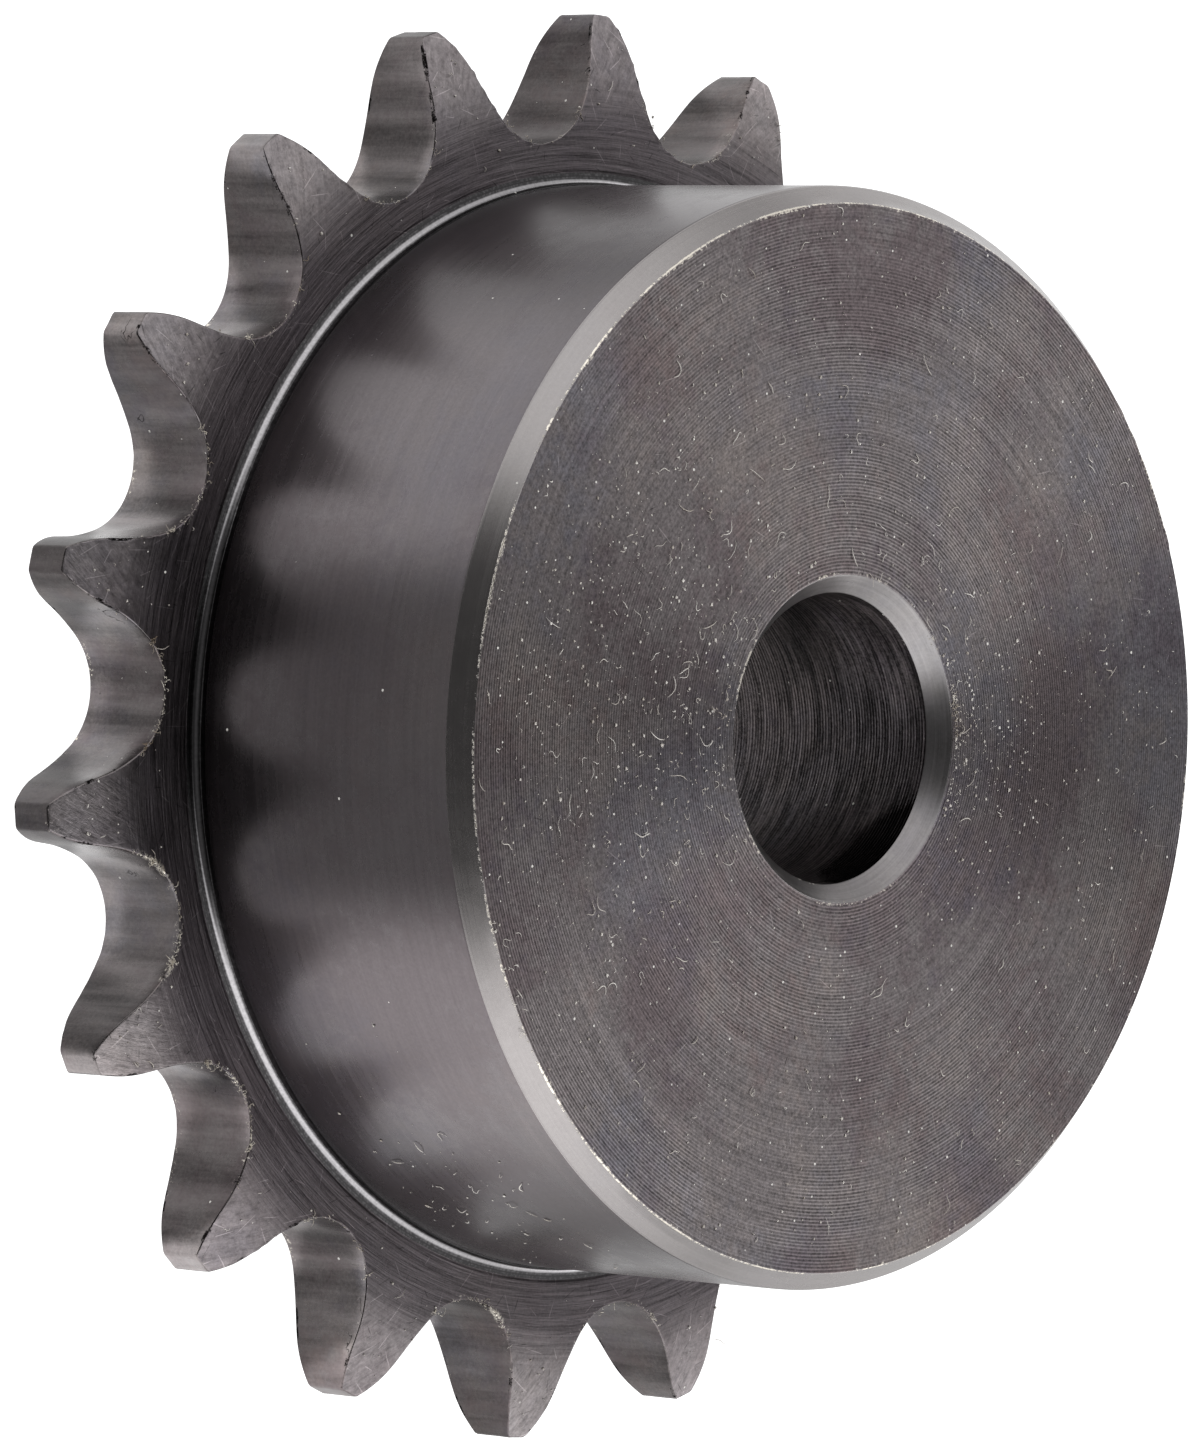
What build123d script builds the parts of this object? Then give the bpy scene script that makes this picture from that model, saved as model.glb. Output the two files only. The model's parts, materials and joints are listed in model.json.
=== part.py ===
from build123d import *
from math import asin, cos, degrees, pi, radians, sin, tan
import os

# A roller-chain sprocket with its hub on one side, turned and cut from one piece of steel.
# Millimetres. The shaft's axis is Z, the plate's plain face lies at Z = 0, the hub stands up
# from the plate, and the middle of one tooth points along +X.

# The chain that the teeth are cut for: single strand, half-inch pitch, narrow rollers
teeth = 18
pitch = 12.7
roller_diameter = 7.77

# The toothed plate
plate_thickness = 5.77

# The hub and the hole through it
hub_diameter = 60.33
hub_height = 19.75
hub_chamfer_width = 1.0
hub_chamfer_height = 1.13
hub_fillet = 0.7
bore_diameter = 15.88
bore_chamfer = 1.03

# Side relief that thins the teeth towards their tips: an arc on each face of the plate
relief_height = 6.65
relief_radius = 14.5

# Shares and angles of the standard tooth form, in roller diameters and degrees
seat_play = 0.076
seat_share = 1.005
working_share = 0.8
topping_share = 1.4
tip_share = 0.6
seat_end_angle = 35 + 60 / teeth
working_arc_angle = 18 - 56 / teeth

# Worked out from the sizes above
half_tooth_angle = 180 / teeth
pitch_radius = pitch / (2 * sin(pi / teeth))
tip_radius = pitch * (tip_share + 1 / tan(pi / teeth)) / 2
relief_start = tip_radius - relief_height
hub_radius = hub_diameter / 2
bore_radius = bore_diameter / 2
overall_height = plate_thickness + hub_height

# How far the gap cutter reaches past the plate, on each side and outwards
cutter_reach = 3.0


def polar(radius: float, angle: float) -> Vector:
    """A point in the plane across the axis, at an angle in degrees from +X."""
    return Vector(radius * cos(radians(angle)), radius * sin(radians(angle)))


def turned_section() -> Sketch:
    """Half section of the turned blank: plate, side relief, fillet, hub, chamfers and bore."""
    relief_angle = degrees(asin(relief_height / relief_radius))
    hub_side = (hub_radius, overall_height - hub_chamfer_height)
    hub_edge = (hub_radius - hub_chamfer_width, overall_height)
    with BuildSketch(Plane.XZ) as section:
        with BuildLine():
            plain_face = Line((bore_radius + bore_chamfer, 0), (relief_start, 0))
            plain_relief = JernArc(plain_face @ 1, (1, 0), relief_radius, relief_angle)
            hub_face_relief = JernArc((relief_start, plate_thickness), (1, 0), relief_radius, -relief_angle)
            Line(plain_relief @ 1, hub_face_relief @ 1)
            shoulder = Line(hub_face_relief @ 0, (hub_radius + hub_fillet, plate_thickness))
            fillet_arc = JernArc(shoulder @ 1, (-1, 0), hub_fillet, -90)
            Polyline(
                fillet_arc @ 1,
                hub_side,
                hub_edge,
                (bore_radius + bore_chamfer, overall_height),
                (bore_radius, overall_height - bore_chamfer),
                (bore_radius, bore_chamfer),
                plain_face @ 0,
            )
        make_face()
    return section.sketch


def tooth_gap() -> Sketch:
    """The space between two teeth, centred on +X, from its roller seat out past the tips.

    Each side of the gap is a seat arc that holds the roller, a working arc, a short straight
    flank and a topping arc that would come to a point on the tooth's middle line.
    """
    flank_angle = seat_end_angle - working_arc_angle
    seat_centre = Vector(pitch_radius, 0)
    seat_radius = (seat_share * roller_diameter + seat_play) / 2

    working_offset = working_share * roller_diameter
    working_centre = seat_centre - polar(working_offset, 90 + seat_end_angle)
    working_radius = working_offset + seat_radius

    topping_offset = topping_share * roller_diameter
    topping_centre = seat_centre + polar(topping_offset, 90 + half_tooth_angle)
    flank_normal = polar(1, 90 + flank_angle)
    topping_radius = (topping_centre - working_centre).dot(flank_normal) - working_radius

    # The tooth's middle line passes this far from the topping centre, and the arc ends on it.
    middle_offset = topping_offset - pitch / 2
    topping_start = flank_angle - 90
    topping_end = half_tooth_angle - degrees(asin(middle_offset / topping_radius))
    outer_corner = polar(tip_radius + cutter_reach, half_tooth_angle)

    with BuildSketch() as gap:
        with BuildLine():
            CenterArc(seat_centre, seat_radius, 180, seat_end_angle - 90)
            working = CenterArc(working_centre, working_radius, 90 + seat_end_angle, -working_arc_angle)
            topping = CenterArc(topping_centre, topping_radius, topping_start, topping_end - topping_start)
            Line(working @ 1, topping @ 0)
            Polyline(topping @ 1, outer_corner, (outer_corner.X, 0))
            mirror(about=Plane.XZ)
        make_face()
    return gap.sketch


def sprocket() -> Part:
    """The turned blank with a gap cut between each pair of teeth."""
    with BuildPart() as body:
        add(turned_section())
        revolve(axis=Axis.Z)
        with BuildSketch(Plane.XY.offset(-cutter_reach)):
            with PolarLocations(0, teeth, half_tooth_angle):
                add(tooth_gap())
        extrude(amount=plate_thickness + 2 * cutter_reach, mode=Mode.SUBTRACT)
    return body.part


os.makedirs("parts", exist_ok=True)
export_step(sprocket(), "parts/sprocket.step")
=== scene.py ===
"""A blackened steel chain sprocket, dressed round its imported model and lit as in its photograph.

The sprocket lies on its plain face with the hub up. The camera looks down at it from 43 degrees
and is turned on its side, so that the shaft's axis runs from left to right in the picture.
Lengths are in millimetres until a mesh, a material or the camera is made, and in metres from
there on.
"""

import json
import logging
from dataclasses import dataclass, field
from enum import Enum, IntEnum
from math import cos, pi, radians, sin
from typing import NamedTuple

import bpy
import numpy as np
from mathutils import Matrix, Quaternion, Vector


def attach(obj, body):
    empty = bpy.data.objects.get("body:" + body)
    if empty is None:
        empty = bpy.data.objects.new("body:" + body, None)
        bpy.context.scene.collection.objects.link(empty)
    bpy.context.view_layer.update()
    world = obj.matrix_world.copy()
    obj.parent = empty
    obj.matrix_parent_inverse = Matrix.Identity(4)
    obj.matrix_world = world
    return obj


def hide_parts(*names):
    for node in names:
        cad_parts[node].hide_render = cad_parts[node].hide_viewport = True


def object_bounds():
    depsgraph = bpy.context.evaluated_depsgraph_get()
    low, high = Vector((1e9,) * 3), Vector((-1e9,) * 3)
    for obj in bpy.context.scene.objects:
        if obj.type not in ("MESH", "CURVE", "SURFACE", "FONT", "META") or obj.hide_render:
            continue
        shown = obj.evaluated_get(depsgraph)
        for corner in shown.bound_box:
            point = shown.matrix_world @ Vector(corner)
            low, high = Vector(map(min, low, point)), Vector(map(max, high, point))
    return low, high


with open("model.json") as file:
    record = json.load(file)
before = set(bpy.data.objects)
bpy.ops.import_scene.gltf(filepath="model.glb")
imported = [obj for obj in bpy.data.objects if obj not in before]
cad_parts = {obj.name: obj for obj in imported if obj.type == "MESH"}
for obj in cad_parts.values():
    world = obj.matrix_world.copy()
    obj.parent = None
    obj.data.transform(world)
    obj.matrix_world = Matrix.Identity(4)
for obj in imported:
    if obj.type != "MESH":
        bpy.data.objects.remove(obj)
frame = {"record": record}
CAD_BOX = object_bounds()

log = logging.getLogger("sprocket")

MM = 0.001
Array = np.ndarray
Colour = tuple[float, float, float]
Socket = bpy.types.NodeSocket
Feed = Socket | float | tuple

NODE = "sprocket"
BODY = "root"
EDGE = "edge"
MOUNTS = {mount["name"]: mount for mount in frame["record"]["mounts"]}
TEETH = MOUNTS["chain_teeth"]["dims"]
BORE = MOUNTS["bore"]["dims"]

UNSTRETCHED = (1.0, 1.0, 1.0)
QUARTER_TURN = 0.25

# White, torn edges, bare steel and dust, and how rough torn edges and dust are
WHITE: Colour = (1.0, 1.0, 1.0)
TORN: Colour = (0.015, 0.013, 0.013)
BARE: Colour = (0.75, 0.70, 0.62)
GRIT: Colour = (0.80, 0.78, 0.74)
DULL = 0.9


# Arrays


def turn(angle: Array | float) -> Array:
    """Unit vectors in the plane at angles in radians from +X, as an array that ends in 2."""
    return np.stack([np.cos(angle), np.sin(angle)], -1)


def arc(centre: Array, radius: float, start: float, sweep: float, count: int) -> Array:
    """Points of a circle's arc: centre + radius * (cos a, sin a), a from start to start + sweep.

    Args:
        centre: The circle's centre.
        radius: Its radius.
        start: The first point's angle in degrees.
        sweep: The arc's angle in degrees, positive anticlockwise.
        count: How many points, both ends among them.

    Returns:
        An array of count points.
    """
    angles = np.radians(start + np.linspace(0.0, sweep, count))
    return centre + radius * turn(angles)


def ripple(count: int, reach: float, seed: int) -> Array:
    """A closed row of smooth random values with mean 0 and spread 1.

    White noise is multiplied in frequency by exp(-(f * reach)^2 / 2), which leaves waves that
    are about reach steps long, and is divided by what spread remains.

    Args:
        count: How many values go round.
        reach: How many steps a wave keeps its sign.
        seed: The seed of the noise.

    Returns:
        An array of count values.
    """
    noise = np.random.default_rng(seed).standard_normal(count)
    waves = np.arange(count // 2 + 1) * 2 * pi / count
    row = np.fft.irfft(np.fft.rfft(noise) * np.exp(-((waves * reach) ** 2) / 2), count)
    return (row - row.mean()) / row.std()


def smooth_ring(ring: Array, reach: float) -> Array:
    """A closed row of points blurred along itself, by exp(-(f * reach)^2 / 2) in frequency.

    Args:
        ring: Points of a closed line, one a row.
        reach: The blur's spread in steps.

    Returns:
        The blurred points.
    """
    waves = np.arange(len(ring) // 2 + 1) * 2 * pi / len(ring)
    keep = np.exp(-((waves * reach) ** 2) / 2)[:, None]
    return np.fft.irfft(np.fft.rfft(ring, axis=0) * keep, len(ring), axis=0)


def step(value: Array, low: float, high: float) -> Array:
    """A smooth rise from 0 at low to 1 at high, by 3 t^2 - 2 t^3."""
    t = np.clip((value - low) / (high - low), 0.0, 1.0)
    return t * t * (3 - 2 * t)


def grid_faces(rows: int, columns: int, first: int) -> Array:
    """Quads of a grid that is closed along its rows: (i, j), (i, j+1), (i+1, j+1), (i+1, j).

    Args:
        rows: How many rings of points the grid has.
        columns: How many points a ring has.
        first: The number of the grid's first point.

    Returns:
        An array of (rows - 1) * columns quads.
    """
    i, j = np.mgrid[0 : rows - 1, 0:columns]
    k = (j + 1) % columns
    corners = [i * columns + j, i * columns + k, (i + 1) * columns + k, (i + 1) * columns + j]
    return first + np.stack(corners, -1).reshape(-1, 4)


def fan_faces(coarse: int, fine: int, count: int, share: int, flip: bool) -> Array:
    """Triangles that join a ring of count points to one of count * share points.

    Each point of the coarse ring fans out to the fine points of its half steps on both sides,
    and one triangle a step closes the space between two fans.

    Args:
        coarse: The number of the coarse ring's first point.
        fine: The number of the fine ring's first point.
        count: How many points the coarse ring has.
        share: How many fine points there are to a coarse one, an even number.
        flip: Whether the triangles run the other way round.

    Returns:
        An array of count * (share + 1) triangles.
    """
    here = np.arange(count)[:, None]
    after = (here + 1) % count
    steps = np.arange(share)[None, :]
    left = fine + (here * share + steps) % (count * share)
    right = fine + (here * share + steps + 1) % (count * share)
    hub = np.where(steps < share // 2, coarse + here, coarse + after)
    fans = np.stack([hub, left, right], -1).reshape(-1, 3)
    middle = fine + here * share + share // 2
    closing = np.stack([coarse + here, middle, coarse + after], -1).reshape(-1, 3)
    faces = np.concatenate([fans, closing])
    return faces[:, ::-1] if flip else faces


# Shader nodes


class Nodes:
    """Adds nodes to one tree and joins them, so that a finish reads as a list of steps."""

    def __init__(self, tree: bpy.types.NodeTree) -> None:
        """Takes the tree that the nodes go into."""
        self.tree = tree

    def add(self, kind: str, **settings: object) -> bpy.types.Node:
        """Adds a node.

        Args:
            kind: The node's type without the ShaderNode in front.
            **settings: Properties to set on the node.

        Returns:
            The new node.
        """
        node = self.tree.nodes.new("ShaderNode" + kind)
        for name, value in settings.items():
            setattr(node, name, value)
        return node

    def feed(self, socket: Socket, value: Feed) -> None:
        """Joins value to the socket where it is a socket itself, and sets it there otherwise.

        Args:
            socket: The socket that takes it.
            value: A socket, a number, a colour or a vector.
        """
        if isinstance(value, bpy.types.NodeSocket):
            self.tree.links.new(value, socket)
        else:
            socket.default_value = value

    def place(self) -> Socket:
        """The point on the piece, in metres."""
        return self.add("TexCoord").outputs["Object"]

    def apart(self, vector: Socket) -> tuple[Socket, Socket, Socket]:
        """A vector's three parts.

        Args:
            vector: The vector.

        Returns:
            Its parts along X, Y and Z.
        """
        node = self.add("SeparateXYZ")
        self.feed(node.inputs[0], vector)
        return tuple(node.outputs)

    def polar(self, place: Socket) -> tuple[Socket, Socket]:
        """The distance from the shaft's axis, and the way there as a unit vector without height.

        Args:
            place: The point.

        Returns:
            The radius and the heading.
        """
        flat = self.vector("MULTIPLY", place, (1.0, 1.0, 0.0))
        return self.vector("LENGTH", flat), self.vector("NORMALIZE", flat)

    def rings(self, heading: Socket, pieces: Feed, travel: Socket, fineness: Feed) -> Socket:
        """Where to read noise that is drawn out round the axis.

        The heading is multiplied by pieces, and the travel times fineness is its height.

        Args:
            heading: The unit vector from the axis.
            pieces: How fast the noise changes round the axis, in waves to a radian.
            travel: The distance across the rings, in metres.
            fineness: How fast the noise changes across them, in waves to a metre.

        Returns:
            The vector.
        """
        up = self.add("CombineXYZ")
        self.feed(up.inputs[2], self.math("MULTIPLY", travel, fineness))
        return self.vector("ADD", self.scaled(heading, pieces), up.outputs[0])

    def math(self, operation: str, *values: Feed, clamp: bool = False) -> Socket:
        """Arithmetic on up to three numbers.

        Args:
            operation: The operation's name, such as MULTIPLY.
            *values: The numbers or sockets that it takes.
            clamp: Whether the result stays within 0 and 1.

        Returns:
            The result.
        """
        node = self.add("Math", operation=operation, use_clamp=clamp)
        for socket, value in zip(node.inputs, values):
            self.feed(socket, value)
        return node.outputs[0]

    def vector(self, operation: str, *values: Feed) -> Socket:
        """Arithmetic on up to two vectors.

        Args:
            operation: The operation's name, such as SUBTRACT.
            *values: The vectors or sockets that it takes.

        Returns:
            The result, which is a number for a length, a distance or a dot product.
        """
        node = self.add("VectorMath", operation=operation)
        for socket, value in zip(node.inputs, values):
            self.feed(socket, value)
        number = operation in ("LENGTH", "DISTANCE", "DOT_PRODUCT")
        return node.outputs["Value" if number else "Vector"]

    def scaled(self, vector: Feed, factor: Feed) -> Socket:
        """A vector multiplied by a number.

        Args:
            vector: The vector.
            factor: The number.

        Returns:
            The product.
        """
        node = self.add("VectorMath", operation="SCALE")
        self.feed(node.inputs[0], vector)
        self.feed(node.inputs["Scale"], factor)
        return node.outputs[0]

    def cells(self, place: Socket, spacing: Feed) -> tuple:
        """Space divided into cells of one size about random points.

        Args:
            place: The point.
            spacing: The cells' size in metres.

        Returns:
            The cells' outputs, and three random numbers that the point's own cell has.
        """
        node = self.add("TexVoronoi", feature="F1")
        self.feed(node.inputs["Vector"], place)
        self.feed(node.inputs["Scale"], self.math("DIVIDE", 1.0, spacing))
        seeds = self.add("SeparateColor")
        self.feed(seeds.inputs[0], node.outputs["Color"])
        return node.outputs, tuple(seeds.outputs)

    def stretch(self, vector: Feed, scale: tuple, rotation: tuple = (0, 0, 0)) -> Socket:
        """A vector turned by rotation, in degrees, and then multiplied by scale.

        Args:
            vector: The vector.
            scale: What each axis is multiplied by.
            rotation: The turn about each axis in degrees.

        Returns:
            The new vector.
        """
        turned = self.add("Mapping", vector_type="POINT")
        self.feed(turned.inputs["Vector"], vector)
        turned.inputs["Rotation"].default_value = [radians(a) for a in rotation]
        return self.vector("MULTIPLY", turned.outputs[0], scale)

    def noise(self, vector: Feed, scale: Feed, detail: float = 2.0, rough: float = 0.5) -> Socket:
        """Smooth noise between 0 and 1 with a mean of a half.

        Args:
            vector: Where it is read.
            scale: How many waves there are to a unit of the vector.
            detail: How many finer layers are added.
            rough: How strong each finer layer is next to the one before.

        Returns:
            The noise.
        """
        node = self.add("TexNoise", noise_dimensions="3D")
        self.feed(node.inputs["Vector"], vector)
        self.feed(node.inputs["Scale"], scale)
        node.inputs["Detail"].default_value = detail
        node.inputs["Roughness"].default_value = rough
        return node.outputs[0]

    def span(self, value: Feed, low: Feed, high: Feed, smooth: bool = False) -> Socket:
        """How far value has come from low to high, from 0 to 1 and no further.

        Args:
            value: The number.
            low: Where the result is 0.
            high: Where the result is 1.
            smooth: Whether the rise starts and ends softly.

        Returns:
            The share.
        """
        style = "SMOOTHSTEP" if smooth else "LINEAR"
        node = self.add("MapRange", interpolation_type=style, clamp=True)
        for name, feed in (("Value", value), ("From Min", low), ("From Max", high)):
            self.feed(node.inputs[name], feed)
        return node.outputs[0]

    def blend(self, share: Feed, first: Feed, second: Feed) -> Socket:
        """The colour that goes from first to second with share.

        Args:
            share: 0 for the first colour, 1 for the second.
            first: A colour or a socket.
            second: A colour or a socket.

        Returns:
            The mixed colour.
        """
        return self._mix("RGBA", "Color", share, opaque(first), opaque(second))

    def tinted(self, colour: Feed, factor: Feed) -> Socket:
        """A colour multiplied by another.

        Args:
            colour: A colour or a socket.
            factor: The other.

        Returns:
            The product.
        """
        values = (value[:3] if isinstance(value, tuple) else value for value in (colour, factor))
        return self.vector("MULTIPLY", *values)

    def level(self, share: Feed, first: Feed, second: Feed) -> Socket:
        """The number that goes from first to second with share.

        Args:
            share: 0 for the first number, 1 for the second.
            first: A number or a socket.
            second: A number or a socket.

        Returns:
            The mixed number.
        """
        return self._mix("FLOAT", "Float", share, first, second)

    def _mix(self, kind: str, ending: str, share: Feed, first: Feed, second: Feed) -> Socket:
        """Adds a node that goes from first to second with share.

        Args:
            kind: The node's kind of data.
            ending: How the names of that kind's sockets end.
            share: 0 for first, 1 for second.
            first: What it starts from.
            second: What it goes to.

        Returns:
            The result.
        """
        node = self.add("Mix", data_type=kind, clamp_factor=True)
        inputs = {socket.identifier: socket for socket in node.inputs}
        names = ("Factor_Float", "A_" + ending, "B_" + ending)
        for name, value in zip(names, (share, first, second)):
            self.feed(inputs[name], value)
        return next(s for s in node.outputs if s.identifier == "Result_" + ending)

    def bump(self, shader: bpy.types.Node, height: Socket, distance: float = 1.0) -> None:
        """Makes the shader's surface look raised and sunk.

        Args:
            shader: The shader.
            height: The height.
            distance: How many metres a height of 1 is.
        """
        node = self.add("Bump")
        node.inputs["Strength"].default_value = 1.0
        node.inputs["Distance"].default_value = distance
        self.feed(node.inputs["Height"], height)
        self.feed(shader.inputs["Normal"], node.outputs[0])

    def group(self, tree: bpy.types.NodeTree, **feeds: Feed) -> bpy.types.Node:
        """Places a node group.

        Args:
            tree: The group.
            **feeds: What its inputs take, by name.

        Returns:
            The placed group.
        """
        node = self.add("Group", node_tree=tree)
        for name, value in feeds.items():
            self.feed(node.inputs[name], value)
        return node


def opaque(colour: Feed) -> Feed:
    """A colour of three numbers with full alpha added, and anything else as it is."""
    return (*colour, 1.0) if isinstance(colour, tuple) and len(colour) == 3 else colour


def new_group(name: str, inputs: dict[str, float], outputs: tuple[str, ...]) -> tuple:
    """Starts a node group of numbers.

    Args:
        name: The group's name.
        inputs: Each input's name and its usual value.
        outputs: The outputs' names.

    Returns:
        The group's tree, its Nodes, its inputs by name and its outputs by name.
    """
    tree = bpy.data.node_groups.new(name, "ShaderNodeTree")
    for title, value in inputs.items():
        socket = tree.interface.new_socket(title, in_out="INPUT", socket_type="NodeSocketFloat")
        socket.default_value = value
    for title in outputs:
        tree.interface.new_socket(title, in_out="OUTPUT", socket_type="NodeSocketFloat")
    start = tree.nodes.new("NodeGroupInput").outputs
    end = tree.nodes.new("NodeGroupOutput").inputs
    return tree, Nodes(tree), start, end


def turning_marks() -> bpy.types.NodeTree:
    """The marks of a turned surface, as rings about the shaft's axis.

    The travel is radius * Across + height * Along. A tool with a round nose leaves a groove
    of (2 * fraction of the travel's pitch - 1)^2 of its depth, and the rings differ in tone
    and change about Pieces times in a radian of the way round.

    Returns:
        The group. Height is the groove's, in metres, Tone runs from 0 to 1, and the third
        output, painted shade in the grooves' bottoms and painted light on their ridges, runs
        from -0.33 to 0.67 where the grooves show and is 0 where they don't.
    """
    inputs = {"Across": 1.0, "Along": 0.0, "Pitch": 0.0002, "Depth": 0.000003, "Wander": 0.0,
              "Pieces": 1.0, "Fineness": 9000.0}
    tree, nodes, start, end = new_group("turning_marks", inputs, ("Height", "Tone", "Ring"))
    place = nodes.place()
    radius, heading = nodes.polar(place)
    along = nodes.math("MULTIPLY", nodes.apart(place)[2], start["Along"])
    travel = nodes.math("MULTIPLY_ADD", radius, start["Across"], along)

    spot = nodes.rings(heading, start["Pieces"], travel, start["Fineness"])
    tone = nodes.noise(spot, 1.0, 4.0, 0.65)
    nodes.feed(end["Tone"], tone)

    drift_scale, clear_scale, clear_edges, mean_scallop = 160.0, 85.0, (0.36, 0.58), 0.33
    drift = nodes.math("SUBTRACT", nodes.noise(place, drift_scale, 2.0), 0.5)
    wandered = nodes.math("MULTIPLY_ADD", drift, start["Wander"], travel)
    turns = nodes.math("FRACT", nodes.math("DIVIDE", wandered, start["Pitch"]))
    nose = nodes.math("MULTIPLY_ADD", turns, 2.0, -1.0)
    scallop = nodes.math("MULTIPLY", nose, nose)
    deep = nodes.math("MULTIPLY", start["Depth"], nodes.math("ADD", tone, 0.5))
    nodes.feed(end["Height"], nodes.math("MULTIPLY", scallop, deep))
    # Painted groove shade: lighter on the ridges and darker in the grooves' bottoms, in patches
    # where the grooves show.
    clear = nodes.span(nodes.noise(place, clear_scale, 2.0), *clear_edges, smooth=True)
    relative = nodes.math("SUBTRACT", scallop, mean_scallop)
    nodes.feed(end["Ring"], nodes.math("MULTIPLY", relative, clear))
    return tree


def oxide_cast() -> bpy.types.NodeTree:
    """The uneven cast of blackened steel: brown, blue and pale clouds, and a fine grain.

    Each cloud is noise read from its own turned place, and finer smudges break its border. Size
    is that of the clouds, of which about 75 waves come to a metre at a size of 1.

    Returns:
        The group. Brown, Blue, Pale and Grain run from 0 to 1.
    """
    cloud_scale, smudge_scale, grain_scale, smudge_share = 75.0, 900.0, 5200.0, 0.45
    outputs = ("Brown", "Blue", "Pale", "Grain")
    tree, nodes, start, end = new_group("oxide_cast", {"Size": 1.0}, outputs)
    place = nodes.place()
    smudge = nodes.math("SUBTRACT", nodes.noise(place, smudge_scale, 4.0, 0.7), 0.5)
    clouds = {"Brown": ((0, 0, 0), 0.46, 0.62), "Blue": ((40, 70, 20), 0.50, 0.66),
              "Pale": ((110, 20, 75), 0.50, 0.68)}
    for title, (turned, low, high) in clouds.items():
        spot = nodes.stretch(place, UNSTRETCHED, turned)
        cloud = nodes.noise(spot, nodes.math("DIVIDE", cloud_scale, start["Size"]), 5.0, 0.62)
        ragged = nodes.math("MULTIPLY_ADD", smudge, smudge_share, cloud)
        nodes.feed(end[title], nodes.span(ragged, low, high))
    nodes.feed(end["Grain"], nodes.noise(place, grain_scale, 3.0, 0.7))
    return tree


def plate_skin() -> bpy.types.NodeTree:
    """The skin of the toothed plate: turned near the hub, lumpy and stroked on the teeth.

    Near the hub the noise is drawn out into arcs round the axis. On the teeth it is drawn out
    outwards, after a twist of 19 radians a metre of radius that makes the strokes slant, and
    lumps are added. Outer goes from 0 to 1 between the radii Turned and Rough.

    Returns:
        The group. Height, Tone and Outer run from 0 to 1.
    """
    inputs = {"Turned": 0.0330, "Rough": 0.0370}
    tree, nodes, start, end = new_group("plate_skin", inputs, ("Height", "Tone", "Outer"))
    place = nodes.place()
    radius, heading = nodes.polar(place)
    outer = nodes.span(radius, start["Turned"], start["Rough"], smooth=True)
    arc_pieces, arc_fineness, stroke_pieces, stroke_fineness = 6.0, 5200.0, 120.0, 700.0
    twist_rate, lump_scale = 19.0, 1700.0
    arcs = nodes.noise(nodes.rings(heading, arc_pieces, radius, arc_fineness), 1.0, 4.0, 0.75)

    twist = nodes.add("VectorRotate", rotation_type="Z_AXIS")
    nodes.feed(twist.inputs["Vector"], heading)
    nodes.feed(twist.inputs["Angle"], nodes.math("MULTIPLY", radius, twist_rate))
    spot = nodes.rings(twist.outputs[0], stroke_pieces, radius, stroke_fineness)
    strokes = nodes.noise(spot, 1.0, 4.0, 0.75)
    lumps = nodes.noise(place, lump_scale, 5.0, 0.7)
    rough = nodes.math("MULTIPLY_ADD", lumps, 0.5, nodes.math("MULTIPLY", strokes, 0.5))
    mixed = nodes.level(outer, arcs, rough)
    nodes.feed(end["Height"], mixed)
    nodes.feed(end["Tone"], nodes.span(mixed, 0.30, 0.70))
    nodes.feed(end["Outer"], outer)
    return tree


def cutter_streaks() -> bpy.types.NodeTree:
    """Streaks that a tooth cutter leaves parallel to the shaft, in two widths, and cracks.

    The point's height is multiplied by far less than its other parts, so a streak keeps its
    tone across the plate. Fineness is how many times as fine as usual the streaks are. A crack
    is where noise passes a half, within a few small places.

    Returns:
        The group. Height runs from 0 to 3, and Tone and Crack run from 0 to 1.
    """
    fine_stretch, wide_stretch = (3200.0, 3200.0, 200.0), (620.0, 620.0, 70.0)
    crack_scale, spell_scale, spell_turn = 520.0, 230.0, (15, 50, 85)
    tone_edges, crack_edges, spell_edges = (0.85, 1.55), (0.011, 0.005), (0.66, 0.71)
    outputs = ("Height", "Tone", "Crack")
    tree, nodes, start, end = new_group("cutter_streaks", {"Fineness": 1.0}, outputs)
    place = nodes.place()
    fine = nodes.noise(nodes.stretch(place, fine_stretch), start["Fineness"], 4.0, 0.7)
    wide = nodes.noise(nodes.stretch(place, wide_stretch), start["Fineness"], 2.0, 0.5)
    nodes.feed(end["Height"], nodes.math("MULTIPLY_ADD", wide, 2.0, fine))
    band = nodes.math("MULTIPLY_ADD", wide, 1.8, nodes.math("MULTIPLY", fine, 0.6))
    nodes.feed(end["Tone"], nodes.span(band, *tone_edges))

    ridge = nodes.math("SUBTRACT", nodes.noise(place, crack_scale, 3.0, 0.6), 0.5)
    ridge = nodes.math("ABSOLUTE", ridge)
    few = nodes.noise(nodes.stretch(place, UNSTRETCHED, spell_turn), spell_scale, 2.0, 0.5)
    thin = nodes.span(ridge, *crack_edges)
    nodes.feed(end["Crack"], nodes.math("MULTIPLY", thin, nodes.span(few, *spell_edges)))
    return tree


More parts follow.
